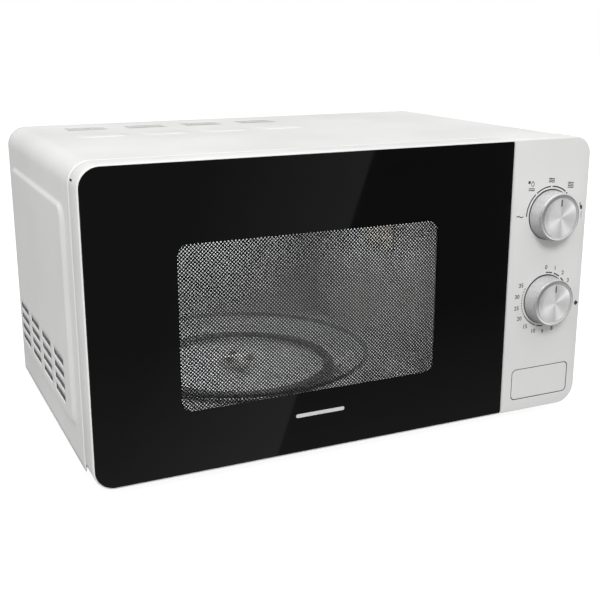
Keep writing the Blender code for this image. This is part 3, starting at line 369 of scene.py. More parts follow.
def roundOutline(a, b, radii, steps=8):
    corners = ((a[0], b[0], 180), (a[1], b[0], 270), (a[1], b[1], 0), (a[0], b[1], 90))
    points = []
    for (cornerA, cornerB, start), radius in zip(corners, radii):
        radius = max(radius, 0.02)
        centreA = cornerA + radius * (1 if cornerA == a[0] else -1)
        centreB = cornerB + radius * (1 if cornerB == b[0] else -1)
        for step in range(steps + 1):
            angle = math.radians(start + 90.0 * step / steps)
            points.append((centreA + radius * math.cos(angle),
                           centreB + radius * math.sin(angle)))
    return points


def grownOutline(a, b, grow, radius, steps=10):
    return roundOutline((a[0] - grow, a[1] + grow), (b[0] - grow, b[1] + grow),
                        (radius,) * 4, steps)


def atY(outline, y):
    return [(x, y, z) for x, z in outline]


def rolledRings(outline, roll):
    rings = []
    for step in range(1, 6):
        angle = math.radians(18 * step)
        rings.append(atY(outline(roll * (1 - math.cos(angle))),
                         oven["frontY"] + roll * (1 - math.sin(angle))))
    return rings


def ringLoft(rings, closed=True, caps=False):
    verts = [point for ring in rings for point in ring]
    count = len(rings[0])
    faces = []
    pairs = list(zip(range(len(rings)), range(1, len(rings))))
    if closed:
        pairs.append((len(rings) - 1, 0))
    for first, second in pairs:
        for i in range(count):
            j = (i + 1) % count
            faces.append((first * count + i, first * count + j,
                          second * count + j, second * count + i))
    if caps:
        faces.append(tuple(range(count)))
        faces.append(tuple((len(rings) - 1) * count + i for i in range(count)))
    return verts, faces


def spun(profile, centre, axis=(0, 0, 1), steps=64):
    axis = Vector(axis).normalized()
    turn = Vector((0, 0, 1)).rotation_difference(axis).to_matrix()
    rings = []
    for step in range(steps):
        angle = 2 * math.pi * step / steps
        direction = Vector((math.cos(angle), math.sin(angle), 0))
        rings.append([tuple(turn @ (direction * r + Vector((0, 0, h))) + Vector(centre))
                      for r, h in profile])
    verts = [point for ring in rings for point in ring]
    count = len(profile)
    faces = []
    for step in range(steps):
        after = (step + 1) % steps
        for i in range(count):
            j = (i + 1) % count
            faces.append((step * count + i, step * count + j, after * count + j,
                          after * count + i))
    return verts, faces


def softBlock(low, high, radius=0.6, segments=2):
    bm = bmesh.new()
    size = Vector(high) - Vector(low)
    middle = (Vector(high) + Vector(low)) / 2
    bmesh.ops.create_cube(bm, size=1.0,
                          matrix=Matrix.Translation(middle) @ Matrix.Diagonal((*size, 1.0)))
    if radius > 0:
        bmesh.ops.bevel(bm, geom=bm.edges[:], offset=radius, segments=segments,
                        affect="EDGES", profile=0.5)
    verts = [tuple(v.co) for v in bm.verts]
    faces = [tuple(v.index for v in f.verts) for f in bm.faces]
    bm.free()
    return verts, faces


def gather(parts):
    verts = []
    faces = []
    for partVerts, partFaces in parts:
        start = len(verts)
        verts += partVerts
        faces += [tuple(i + start for i in face) for face in partFaces]
    return verts, faces


def carved(shape, tools):
    meshes = []
    for verts, faces in (shape, gather(tools)):
        mesh = bpy.data.meshes.new("carving")
        mesh.from_pydata(verts, [], faces)
        bm = bmesh.new()
        bm.from_mesh(mesh)
        bmesh.ops.remove_doubles(bm, verts=bm.verts, dist=0.0005)
        bmesh.ops.recalc_face_normals(bm, faces=bm.faces)
        bm.to_mesh(mesh)
        bm.free()
        meshes.append(bpy.data.objects.new("carving", mesh))
    body, cutter = meshes
    for obj in meshes:
        scene.collection.objects.link(obj)
    modifier = body.modifiers.new("carve", "BOOLEAN")
    modifier.object = cutter
    modifier.operation = "DIFFERENCE"
    modifier.solver = "EXACT"
    graph = bpy.context.evaluated_depsgraph_get()
    result = bpy.data.meshes.new_from_object(body.evaluated_get(graph))
    verts = [tuple(v.co) for v in result.vertices]
    faces = [tuple(p.vertices) for p in result.polygons]
    for obj in meshes:
        bpy.data.objects.remove(obj, do_unlink=True)
    return verts, faces


def gridLines(low, high, step, marks=()):
    stops = sorted({low, high, *[m for m in marks if low < m < high]})
    lines = []
    for start, end in zip(stops, stops[1:]):
        count = max(1, math.ceil((end - start) / step - 0.001))
        lines += [start + (end - start) * i / count for i in range(count)]
    return lines + [high]


def outlineDistance(u, v, a, b, radius):
    spanU = abs(u - (a[0] + a[1]) / 2) - (a[1] - a[0]) / 2 + radius
    spanV = abs(v - (b[0] + b[1]) / 2) - (b[1] - b[0]) / 2 + radius
    return math.hypot(max(spanU, 0), max(spanV, 0)) + min(max(spanU, spanV), 0) - radius


def pressedHeight(u, v, foot, crest):
    outer = -outlineDistance(u, v, *foot)
    inner = outlineDistance(u, v, *crest)
    if outer <= 0:
        return 0.0
    if inner <= 0:
        return 1.0
    share = outer / (outer + inner)
    return 0.6 * share + 0.4 * share * share * (3 - 2 * share)


# Camera
view = {
    "place": (-0.36875, -0.83195, 0.35085), "tilt": 90 - 15.057, "turn": -25.064,
    "lens": 59.0, "sensor": 36.0, "shift": (-0.00565, -0.01947),
}
camera = bpy.data.objects.new("camera", bpy.data.cameras.new("camera"))
scene.collection.objects.link(camera)
camera.location = view["place"]
camera.rotation_euler = (math.radians(view["tilt"]), 0.0, math.radians(view["turn"]))
camera.data.lens = view["lens"]
camera.data.sensor_width = view["sensor"]
camera.data.shift_x, camera.data.shift_y = view["shift"]
camera.data.clip_end = 100.0
scene.camera = camera
scene.view_settings.view_transform = "Standard"
scene.view_settings.look = "None"

# Steel wrap: side pressings, side louvres, vent slots and pads on the top
wrap = {
    "half": 225.35, "top": 256.0, "low": 16.15, "round": 17.0, "sheet": 0.8,
    "sideRise": 2.2,
    "sideFoot": ((-108.4, 124.0), (43.0, 221.2), 13.0),
    "sideCrest": ((-97.5, 118.0), (46.0, 218.8), 8.0),
    "louvreY": [-76.0 + 51.5 * i for i in range(4)],
    "louvreZ": [54.8 + 10.35 * i for i in range(4)],
    "louvre": (37.0, 5.0), "louvreDeep": 6.5,
    "groupX": [-160.0 + 56.6 * i for i in range(4)],
    "slotY": [83.5 + 8.4 * i for i in range(3)],
    "slot": (37.6, 5.0), "slotDeep": 3.2,
    "padY": (18.5, 45.0), "padRise": 0.5, "padSlope": 0.8, "padRound": (2.0, 1.5),
    "lineStep": 5.0, "sideStep": 4.0, "sideMark": 216.0,
    "fineZ": ((42.0, 48.0, 1.0), (206.0, 223.0, 1.4)),
    "fineY": ((-110.0, -88.0, 1.5), (112.0, 126.0, 1.5)),
}


def buildWrap(spec):
    half, top, low, corner = spec["half"], spec["top"], spec["low"], spec["round"]
    slope = spec["padSlope"]
    sideMarks = [z for start in spec["louvreZ"] for z in (start, start + spec["louvre"][1])]
    sideMarks += [z for span in spec["fineZ"] for z in gridLines(*span)]
    sideMarks.append(spec["sideMark"])
    sideLines = gridLines(low, top - corner, spec["sideStep"], sideMarks)
    wide = spec["slot"][0] / 2
    topMarks = [x + side for x in spec["groupX"]
                for side in (-wide - slope, -wide, wide, wide + slope)]
    topLines = gridLines(-half + corner, half - corner, spec["lineStep"], topMarks)

    def bend(side, start):
        for step in range(13):
            angle = math.radians(start - 90 * step / 12)
            yield (side * (half - corner) + corner * math.cos(angle),
                   top - corner + corner * math.sin(angle),
                   math.cos(angle), math.sin(angle), "corner")

    track = [(-half, z, -1.0, 0.0, "side") for z in sideLines[:-1]]
    track += bend(-1, 180)
    track += [(x, top, 0.0, 1.0, "top") for x in topLines[1:-1]]
    track += bend(1, 90)
    track += [(half, z, 1.0, 0.0, "side") for z in reversed(sideLines[:-1])]
    marks = [y for start in spec["louvreY"] for y in (start, start + spec["louvre"][0])]
    marks += [y for start in spec["slotY"] for y in (start, start + spec["slot"][1])]
    marks += [spec["padY"][0] + 1, spec["padY"][1] - 1, *spec["padY"]]
    marks += [y for span in spec["fineY"] for y in gridLines(*span)]
    yLines = gridLines(oven["seamY"], oven["caseBackY"], spec["lineStep"], marks)
    verts = []
    for x, z, outX, outZ, zone in track:
        for y in yLines:
            lift = 0.0
            if zone == "side":
                lift = spec["sideRise"] * pressedHeight(y, z, spec["sideFoot"],
                                                        spec["sideCrest"])
            if zone == "top":
                for middle in spec["groupX"]:
                    foot = ((middle - wide - slope, middle + wide + slope), spec["padY"],
                            spec["padRound"][0])
                    crest = ((middle - wide, middle + wide),
                             (spec["padY"][0] + 1, spec["padY"][1] - 1), spec["padRound"][1])
                    lift += spec["padRise"] * pressedHeight(x, y, foot, crest)
            verts.append((x + lift * outX, y, z + lift * outZ))
    faces = []
    rows = len(yLines)
    for i in range(len(track) - 1):
        for j in range(rows - 1):
            y = (yLines[j] + yLines[j + 1]) / 2
            zone = track[i][4] if track[i][4] == track[i + 1][4] else "corner"
            if zone == "side":
                z = (track[i][1] + track[i + 1][1]) / 2
                if any(s < y < s + spec["louvre"][0] for s in spec["louvreY"]) and \
                        any(s < z < s + spec["louvre"][1] for s in spec["louvreZ"]):
                    continue
            if zone == "top":
                x = (track[i][0] + track[i + 1][0]) / 2
                if any(abs(x - m) < spec["slot"][0] / 2 for m in spec["groupX"]) and \
                        any(s < y < s + spec["slot"][1] for s in spec["slotY"]):
                    continue
            faces.append((i * rows + j, i * rows + j + 1, (i + 1) * rows + j + 1,
                          (i + 1) * rows + j))
    return verts, faces


caseWrap = makePiece("case_wrap", *buildWrap(wrap), casePaint, "root", ("outer_case",),
                     "case_paint", sharp=50.0)
probe = min(caseWrap.data.polygons, key=lambda p: (p.center - Vector((0, 0, 0.256))).length)
if probe.normal.z < 0:
    caseWrap.data.flip_normals()
shell = caseWrap.modifiers.new("sheet", "SOLIDIFY")
shell.thickness = wrap["sheet"] * 0.001
shell.offset = -1.0
shell.use_rim = True


# A scoop closes an opening from behind: deep at its near edge and shallow at its far edge
def scoop(near, far, inward, deep, shallow=0.9):
    inward = Vector(inward)
    a, b = Vector(near[0]), Vector(near[1])
    c, d = Vector(far[0]), Vector(far[1])
    verts = [a, b, c, d, a + inward * deep, b + inward * deep, c + inward * shallow,
             d + inward * shallow]
    return [tuple(v) for v in verts], [(4, 5, 7, 6), (0, 4, 6, 2), (1, 5, 7, 3), (2, 6, 7, 3)]


def buildLouvres(spec):
    parts = []
    for side in (-1, 1):
        x = side * (spec["half"] + spec["sideRise"] - 0.3)
        for y in spec["louvreY"]:
            for z in spec["louvreZ"]:
                far = y + spec["louvre"][0]
                high = z + spec["louvre"][1]
                parts.append(scoop(((x, y, z), (x, y, high)), ((x, far, z), (x, far, high)),
                                   (-side, 0, 0), spec["louvreDeep"]))
    return gather(parts)


def buildSlots(spec):
    parts = []
    for middle in spec["groupX"]:
        for y in spec["slotY"]:
            left, right = middle - spec["slot"][0] / 2, middle + spec["slot"][0] / 2
            far = y + spec["slot"][1]
            z = spec["top"] - 0.3
            parts.append(scoop(((left, y, z), (right, y, z)),
                               ((left, far, z), (right, far, z)), (0, 0, -1),
                               spec["slotDeep"]))
    return gather(parts)


# The louvre scoops take the dark steel that paints the shade behind the louvres
makePiece("case_louvres", *buildLouvres(wrap), shadedBareSteel, "root", (), "case_paint")
makePiece("case_slots", *buildSlots(wrap), casePaint, "root", (), "case_paint")
print("case wrap built")

# Door frame: rounded rim round the glass, hollow box behind it, hinge bosses and arm slots
rim = {
    "roll": 1.15, "pocket": -151.45, "web": -149.3, "sightGrow": 5.0, "sightRound": 14.0,
    "armSlots": ((21.6, 23.9), (242.6, 244.9)),
    "lip": ((-224.5, 144.03), (11.0, 255.9), (15.75, 0.6, 0.6, 15.75)),
    "hollow": ((-223.4, 141.8), (12.4, 254.1), (14.6, 1.0, 1.0, 14.6)),
}
window = {"x": (-154.85, 70.15), "z": (62.75, 194.25), "round": 9.0}


def windowOutline(grow):
    return grownOutline(window["x"], window["z"], grow, window["round"] + grow)


def doorOutline(inset):
    big = 17.0 - inset
    return roundOutline((-oven["frontHalf"] + inset, oven["doorRight"] - min(inset, 0.6)),
                        (oven["frontLow"] + inset, oven["frontTop"] - inset),
                        (big, 1.0, 1.0, big), 10)


def buildDoorFrame(spec):
    front = oven["frontY"]
    back = oven["doorBackY"]
    rings = [atY(doorOutline(1.1), back), atY(doorOutline(0.3), back - 0.8),
             atY(doorOutline(0.0), back - 1.8), atY(doorOutline(0.0), front + spec["roll"])]
    rings += rolledRings(doorOutline, spec["roll"])
    lip = roundOutline(*spec["lip"], 10)
    rings += [atY(lip, front + 0.1), atY(lip, spec["pocket"])]
    sight = grownOutline(window["x"], window["z"], spec["sightGrow"], spec["sightRound"])
    inside = roundOutline(*spec["hollow"], 10)
    rings += [atY(sight, spec["pocket"]), atY(sight, spec["web"]), atY(inside, spec["web"]),
              atY(inside, back)]
    shape = ringLoft(rings)
    tools = []
    for low, high in spec["armSlots"]:
        tools.append(softBlock((-230.0, -140.3, low), (-216.0, back + 5, high), 0.0))
    return carved(shape, tools)


makePiece("door_rim", *buildDoorFrame(rim), panelPlastic, "door", ("door_frame",),
          "panel_plastic", sharp=50.0)
bosses = [softBlock((-223.3, -149.2, 25.2), (-208.2, -131.7, 36.8), 0.6),
          softBlock((-223.3, -149.2, 229.7), (-208.2, -131.7, 241.3), 0.6),
          softBlock((131.2, -149.2, 228.4), (141.7, -135.2, 230.5), 0.5)]
makePiece("door_bosses", *gather(bosses), panelPlastic, "door", (), "panel_plastic")

# Front glass: a black printed border with a bright polished edge, clear over the window
glass = {
    "x": (-224.25, 144.05), "z": (11.25, 255.65), "round": 15.5, "thick": 4.0,
    "edge": 0.45, "flare": 3.4,
}


def buildGlassBorder(spec):
    def outline(inset):
        return roundOutline((spec["x"][0] + inset, spec["x"][1] - inset),
                            (spec["z"][0] + inset, spec["z"][1] - inset),
                            (spec["round"] - inset, 1.4, 1.4, spec["round"] - inset), 10)

    front = oven["frontY"]
    edge = spec["edge"]
    rings = [atY(windowOutline(0.0), front), atY(outline(edge), front),
             atY(outline(edge * 0.3), front + edge * 0.3), atY(outline(0.0), front + edge),
             atY(outline(0.0), front + spec["thick"]),
             atY(windowOutline(spec["flare"]), front + spec["thick"]),
             atY(windowOutline(0.15), front + 0.5)]
    return ringLoft(rings)


makePiece("glass_border", *buildGlassBorder(glass), blackGlass, "door", ("door_glass",),
          "door_glass", sharp=12.0)


pane = ringLoft([atY(windowOutline(-0.02), oven["frontY"] + 0.01),
                 atY(windowOutline(0.1), oven["frontY"] + 0.6)], False, True)
makePiece("glass_window", *pane, clearPane, "door", (), "door_glass")

# A plain bar printed at the foot of the glass
bar = {"x": (-59.0, -15.0), "z": (41.4, 44.6), "round": 1.55}
barOutline = roundOutline(bar["x"], bar["z"], (bar["round"],) * 4, 6)
makePiece("glass_bar", *ringLoft([atY(barOutline, oven["frontY"] - 0.05),
                                  atY(barOutline, oven["frontY"] + 0.05)], False, True),
          paleInk, "door")
print("door front built")

# Perforated screen: holes on a square lattice turned by 45 degrees
screen = {
    "x": (-159.85, 75.15), "z": (57.75, 199.25), "pitch": 3.0, "hole": 0.72,
    "front": -148.9, "back": -148.45,
    "trayX": (-206.0, 130.6), "trayZ": (20.0, 246.0), "trayBack": -134.6, "sheet": 0.8,
    "fingerRoot": -143.0, "fingerPitch": 23.0, "halfSlit": 2.0,
}


def buildPerforation(spec):
    step = spec["pitch"] / 2
    columns = int((spec["x"][1] - spec["x"][0]) / spec["pitch"])
    rows = int((spec["z"][1] - spec["z"][0]) / step)
    angles = np.radians(np.arange(8) * 45.0)
    reach = np.where(np.arange(8) % 2 == 0, step, step * math.sqrt(0.5))
    outer = np.stack([reach * np.cos(angles), reach * np.sin(angles)], 1)
    inner = spec["hole"] * np.stack([np.cos(angles), np.sin(angles)], 1)
    centres = []
    for row in range(rows):
        z = spec["z"][0] + step * (row + 0.5)
        for column in range(columns):
            x = spec["x"][0] + spec["pitch"] * (column + 0.5) + (step if row % 2 else 0.0)
            if x < spec["x"][1] - 0.5:
                centres.append((x, z))
    centres = np.array(centres)
    total = len(centres)
    verts = np.empty((total, 24, 3))
    for k, (shape, y) in enumerate(((outer, spec["front"]), (inner, spec["front"]),
                                    (inner, spec["back"]))):
        flat = centres[:, None, :] + shape[None, :, :]
        verts[:, 8 * k:8 * k + 8, 0] = flat[:, :, 0]
        verts[:, 8 * k:8 * k + 8, 1] = y
        verts[:, 8 * k:8 * k + 8, 2] = flat[:, :, 1]
    cell = []
    for i in range(8):
        j = (i + 1) % 8
        cell.append((i, j, 8 + j, 8 + i))
        cell.append((8 + i, 8 + j, 16 + j, 16 + i))
    faces = (np.arange(total)[:, None, None] * 24 + np.array(cell)[None]).reshape(-1, 4)
    mesh = bpy.data.meshes.new("screen_mesh")
    mesh.vertices.add(total * 24)
    mesh.vertices.foreach_set("co", (verts * 0.001).ravel())
    mesh.loops.add(len(faces) * 4)
    mesh.loops.foreach_set("vertex_index", faces.ravel())
    mesh.polygons.add(len(faces))
    mesh.polygons.foreach_set("loop_start", np.arange(len(faces)) * 4)
    mesh.update(calc_edges=True)
    return mesh


screenPiece = bpy.data.objects.new("screen_mesh", buildPerforation(screen))
settle(screenPiece, screenPaint, "door", ("door_screen",), sharp=30.0)


def buildTray(spec):
    def sheetRing(x, z, y):
        return atY(roundOutline(x, z, (0.5,) * 4, 2), y)

    hole = 0.8
    innerX = (spec["x"][0] + hole, spec["x"][1] - hole)
    innerZ = (spec["z"][0] + hole, spec["z"][1] - hole)
    parts = [ringLoft([sheetRing(spec["trayX"], spec["trayZ"], spec["front"] + 0.02),
                       sheetRing(innerX, innerZ, spec["front"] + 0.02),
                       sheetRing(innerX, innerZ, spec["front"] + spec["sheet"]),
                       sheetRing(spec["trayX"], spec["trayZ"],
                                 spec["front"] + spec["sheet"])])]
    near = spec["front"] + 0.1
    root = spec["fingerRoot"]
    thick = spec["sheet"]
    edgesX = (spec["trayX"][0], spec["trayX"][1] - thick)
    edgesZ = (spec["trayZ"][0], spec["trayZ"][1] - thick)
    for x in edgesX:
        parts.append(softBlock((x, near, spec["trayZ"][0]),
                               (x + thick, root, spec["trayZ"][1]), 0.1, 1))
    for z in edgesZ:
        parts.append(softBlock((spec["trayX"][0], near, z),
                               (spec["trayX"][1], root, z + thick), 0.1, 1))

    def fingers(span, slits):
        first = sum(span) / 2 - spec["fingerPitch"] * (slits - 1) / 2
        middles = [first + spec["fingerPitch"] * i for i in range(slits)]
        starts = [span[0]] + [middle + spec["halfSlit"] for middle in middles]
        ends = [middle - spec["halfSlit"] for middle in middles] + [span[1]]
        return zip(starts, ends)

    for left, right in fingers(spec["trayX"], 14):
        for z in edgesZ:
            parts.append(softBlock((left, root - 0.2, z), (right, spec["trayBack"], z + thick),
                                   0.1, 1))
    for low, high in fingers(spec["trayZ"], 9):
        for x in edgesX:
            parts.append(softBlock((x, root - 0.2, low), (x + thick, spec["trayBack"], high),
                                   0.1, 1))
    return gather(parts)


makePiece("screen_tray", *buildTray(screen), screenPaint, "door", (), "screen_steel")
print("screen built with", len(screenPiece.data.polygons), "faces")

# Control panel: rolled front edge and an opening for the button
panel = {"roll": 1.3, "wall": 2.5, "button": ((155.05, 216.5), (21.3, 49.4)), "gap": 0.55,
         "buttonRound": 4.4}


def panelOutline(inset):
    big = 17.0 - inset
    return roundOutline((oven["panelLeft"] + min(inset, 0.7), oven["frontHalf"] - inset),
                        (oven["frontLow"] + inset, oven["frontTop"] - inset),
                        (1.2, big, big, 1.2), 10)


def buildPanel(spec):
    front = oven["frontY"]
    back = oven["seamY"] - 0.3
    rings = [atY(panelOutline(0.0), back), atY(panelOutline(0.0), front + spec["roll"])]
    rings += rolledRings(panelOutline, spec["roll"])
    hole = grownOutline(*spec["button"], spec["gap"], spec["buttonRound"])
    soft = grownOutline(*spec["button"], spec["gap"] + 0.2, spec["buttonRound"] + 0.2)
    inside = roundOutline((oven["panelLeft"] + 2.5, oven["frontHalf"] - 2.5),
                          (oven["frontLow"] + 2.5, oven["frontTop"] - 2.5),
                          (1.0, 14.0, 14.0, 1.0), 10)
    rings += [atY(soft, front), atY(hole, front + 0.2), atY(hole, front + spec["wall"]),
              atY(inside, front + spec["wall"]), atY(inside, back)]
    return ringLoft(rings)


makePiece("panel_moulding", *buildPanel(panel), panelPlastic, "root", ("control_panel",),
          "panel_plastic", sharp=40.0)

# Painted shadow round the button: a dark ring across the gap, standing in for the shade inside
# it
shadowRings = [atY(grownOutline(*panel["button"], grow, panel["buttonRound"]),
                 oven["frontY"] + 0.25) for grow in (0.6, -0.12)]
makePiece("button_shadow_ring", *ringLoft(shadowRings, False), darkNylonAndShadow, "root")

# Dials: tapered lacquered body, polished rim, turned face, painted pointer
dial = {
    "body": [(21.9, 0.5), (21.75, 0.35), (19.9, 0.3), (18.6, 9.0), (18.4, 11.6), (6.0, 11.6),
             (6.0, 0.8), (3.25, 0.8), (3.25, 11.0), (0.0, 11.0), (0.0, 12.9), (20.08, 12.9),
             (20.08, 14.45), (20.45, 14.1), (20.75, 13.5), (20.92, 12.8), (21.0, 12.2),
             (21.7, 1.5)],
    "rim": [(17.1, 12.95), (17.1, 15.3), (17.25, 15.45), (17.5, 15.5), (18.1, 15.45),
            (18.9, 15.22), (19.6, 14.85), (20.1, 14.45), (20.1, 12.95)],
    "face": [(0.0, 15.24), (6.0, 15.25), (12.0, 15.27), (16.8, 15.32), (17.05, 15.22),
             (17.05, 13.7), (0.0, 13.7)],
    # the foot is the dark ring that paints the shadow at the base of the dial
    "foot": [(22.6, 0.02), (22.5, 0.28), (20.6, 0.3), (20.6, 0.02)],
    "pointer": ((-0.58, 0.58), (9.7, 15.7)), "pointerOut": 15.3,
}
for dialName, dialZ, dialBody in (("power", oven["powerZ"], "power_dial"),
                                  ("timer", oven["timerZ"], "timer_dial")):
    hub = (oven["dialX"], oven["frontY"], dialZ)
    for part, finish, stands in (("body", shadedSilverLacquer, (dialName + "_knob",)),
                                 ("rim", satinRimPaintedReflection, ()), ("face", spunAluminiumPaintedWedges, ())):
        makePiece("%s_dial_%s" % (dialName, part), *spun(dial[part], hub, (0, -1, 0), 112),
                  finish, dialBody, stands, "knob_silver", sharp=40.0)
    (left, right), (low, high) = dial["pointer"]
    depth = oven["frontY"] - dial["pointerOut"]
    makePiece(dialName + "_dial_pointer",
              *softBlock((oven["dialX"] + left, depth - 0.1, dialZ + low),
                         (oven["dialX"] + right, depth + 0.3, dialZ + high), 0.05),
              printInk, dialBody)
    # Painted shadow: a thin dark ring behind each dial, set 0.3 mm high so it shows wider above,
    # stands in for the shade in the gap at its foot
    makePiece(dialName + "_dial_shadow_ring", *spun(dial["foot"], (hub[0], hub[1], hub[2] + 0.3),
                                              (0, -1, 0), 96),
              darkNylonAndShadow, "root")
print("dials built")

# Print on the panel, a film of ink that stands 0.03 mm proud
ink = {"lift": 0.03, "digitMm": 5.2, "digitWeight": 0.09, "powerArc": 25.0, "timerArc": 24.6,
       "digitRing": (29.3, 30.4), "wide": 7, "warm": (32.0, -89), "defrost": (34.0, -39),
       "meat": (34.3, 83), "dish": (36.9, 102), "waves": ((0, 30.4, 3), (40, 32.6, 4))}
inkY = oven["frontY"] - ink["lift"]


def clockPoint(centreZ, radius, degrees):
    angle = math.radians(degrees)
    return oven["dialX"] + radius * math.sin(angle), centreZ + radius * math.cos(angle)


def stripFaces(count):
    return [(i, i + 1, count + i + 1, count + i) for i in range(count - 1)]


def arcStrip(centreZ, radius, width, start, end):
    steps = max(2, int(abs(end - start) / 3))
    points = []
    for edge in (radius - width / 2, radius + width / 2):
        points.append([clockPoint(centreZ, edge, start + (end - start) * i / steps)
                       for i in range(steps + 1)])
    verts = [(x, inkY, z) for row in points for x, z in row]
    return verts, stripFaces(steps + 1)


def waveStrip(x, z, length, height, width):
    steps = 24
    verts = []
    for offset in (-width / 2, width / 2):
        for i in range(steps + 1):
            share = i / steps
            verts.append((x + length * (share - 0.5), inkY,
                          z + height * math.sin(2 * math.pi * share) + offset))
    return verts, stripFaces(steps + 1)


def patch(points, left=0.0, low=0.0):
    verts = [(left + x, inkY, low + z) for x, z in points]
    return verts, [tuple(range(len(points)))]


def printedText(text, size, x, z):
    curve = bpy.data.curves.new("figure", "FONT")
    curve.body = text
    curve.size = size
    curve.offset = ink["digitWeight"]
    curve.align_x = "CENTER"
    curve.align_y = "CENTER"
    curve.resolution_u = 3
    temp = bpy.data.objects.new("figure", curve)
    scene.collection.objects.link(temp)
    graph = bpy.context.evaluated_depsgraph_get()
    mesh = bpy.data.meshes.new_from_object(temp.evaluated_get(graph))
    verts = [(v.co.x + x, inkY, v.co.y + z) for v in mesh.vertices]
    faces = [tuple(p.vertices) for p in mesh.polygons]
    bpy.data.objects.remove(temp, do_unlink=True)
    return verts, faces


def powerPrint():
    z = oven["powerZ"]
    arcs = ((1.15, -90, -41), (1.15, -37.5, -1.5), (1.2, 2.5, 38.5), (1.1, 41.5, 45))
    parts = [arcStrip(z, ink["powerArc"], *arc) for arc in arcs]
    x, high = clockPoint(z, *ink["warm"])
    parts.append(waveStrip(x, high, 7.2, 0.6, 0.85))
    x, high = clockPoint(z, *ink["defrost"])
    high += 1.4
    for k in range(2):
        parts.append(waveStrip(x + 0.3, high - 3.5 - 1.5 * k, 6.4, 0.22, 0.8))
    around = np.linspace(0, 2 * math.pi, 20)[:-1]
    drop = [(x + 1.2 + 1.75 * math.sin(a) * (1 - 0.45 * max(math.cos(a), 0)),
             high + 0.6 + 2.5 * math.cos(a)) for a in around]
    inner = [(x + 1.2 + 1.2 * math.sin(a) * (1 - 0.45 * max(math.cos(a), 0)),
              high + 0.45 + 1.8 * math.cos(a)) for a in around]
    ring = [(px, inkY, pz) for px, pz in drop + inner]
    parts.append((ring, [(i, (i + 1) % 19, 19 + (i + 1) % 19, 19 + i) for i in range(19)]))
    star = []
    for k in range(12):
        radius = 1.7 if k % 2 == 0 else 1.15
        star.append((x - 2.4 + radius * math.sin(k * math.pi / 6),
                     high + 2.1 + radius * math.cos(k * math.pi / 6)))
    parts.append(patch(star))
    for degrees, radius, count in ink["waves"]:
        x, high = clockPoint(z, radius, degrees)
        for k in range(count):
            parts.append(waveStrip(x, high + 1.45 * (k - (count - 1) / 2), 6.4, 0.32, 0.8))
    x, high = clockPoint(z, *ink["meat"])
    parts.append(patch(((-1.5, 1.6), (0.1, 2.6), (1.7, 0.2), (1.2, -2.1), (-0.4, -1.6)), x,
                       high))
    parts.append(patch(((-2.2, 3.2), (-1.0, 4.6), (-0.5, 3.6), (-1.5, 2.6)), x, high))
    parts.append(patch(((0.7, -9.4), (0.7, -3.8), (1.1, -3.8), (1.1, -9.4)), x, high))
    return gather(parts)


def timerPrint():
    z = oven["timerZ"]
    arcs = ((1.1, 0, 16), (1.15, 21, 37), (1.2, 43, 55), (1.0, 180, 196), (0.8, 200, 240))
    parts = [arcStrip(z, ink["timerArc"], *arc) for arc in arcs]
    for k in range(10):
        parts.append(arcStrip(z, ink["timerArc"], 0.5, 242 + 6 * k, 246.4 + 6 * k))
        parts.append(arcStrip(z, 25.2, 0.3, 242 + 6 * k, 244 + 6 * k))
    for index, label in enumerate((*range(11), 15, 20, 25, 30, 35)):
        ring = ink["digitRing"][index >= ink["wide"]]
        x, high = clockPoint(z, ring, 20.0 * index)
        parts.append(printedText(str(label), ink["digitMm"], x, high))
    x, high = clockPoint(z, *ink["dish"])
    parts.append(patch(((-2.0, 0.2), (-0.4, 2.4), (1.0, 1.6), (2.7, 0.1), (0.9, -1.9),
                        (-1.0, -1.8)), x, high))
    return gather(parts)


for printName, printShape in (("power_print", powerPrint()), ("timer_print", timerPrint())):
    printPiece = makePiece(printName, *printShape, printInk, "root")
    for face in printPiece.data.polygons:
        if face.normal.y > 0:
            face.flip()
print("print laid")

# Turntable: pressed glass tray with a raised rim, roller ring and wheels
tray = {
    "under": 37.1, "radius": 127.5,
    "rim": [(123.5, 7.8), (125.0, 8.1), (126.6, 8.0), (127.4, 7.3), (127.5, 6.6),
            (127.1, 5.7), (123.5, 4.68)],
    "profile": [(0, 4.3), (101, 4.3), (108, 4.7), (117, 6.3), (122.0, 7.4), (123.45, 7.8),
                (123.45, 4.67), (122, 4.3),
                (112, 1.6), (102.6, 0.2), (101, 0.0), (93, 0.0), (91.6, 0.25), (89, 1.3),
                (74, 1.3), (73.4, 1.0), (71.0, 1.0), (70.4, 1.3), (40, 1.3), (39.4, 1.0),
                (37.0, 1.0), (36.4, 1.3), (0, 1.3)],
}
trayCentre = (oven["tableX"], oven["tableY"], tray["under"])
trayParts = [spun(tray["profile"], trayCentre, steps=128)]
for index in range(3):
    angle = math.radians(90 + 120 * index)
    lug = [(0, -3.2), (2.4, -3.2), (2.9, -2.7), (3.0, 1.5), (0, 1.5)]
    trayParts.append(spun(lug, (oven["tableX"] + 12.5 * math.cos(angle),
                                oven["tableY"] + 12.5 * math.sin(angle), tray["under"]),
                          (0, 0, 1), 20))
makePiece("tray_disc", *gather(trayParts), trayGlass, "tray", ("glass_turntable",),
          "tray_glass", sharp=40.0)
makePiece("tray_rim", *spun(tray["rim"], trayCentre, steps=128), shadedTrayRimGlass, "tray",
          (), "tray_glass", sharp=40.0)

roller = {"axleZ": 31.3, "ring": (84.0, 93.0), "wheelRing": 97.0, "wheel": 5.5}


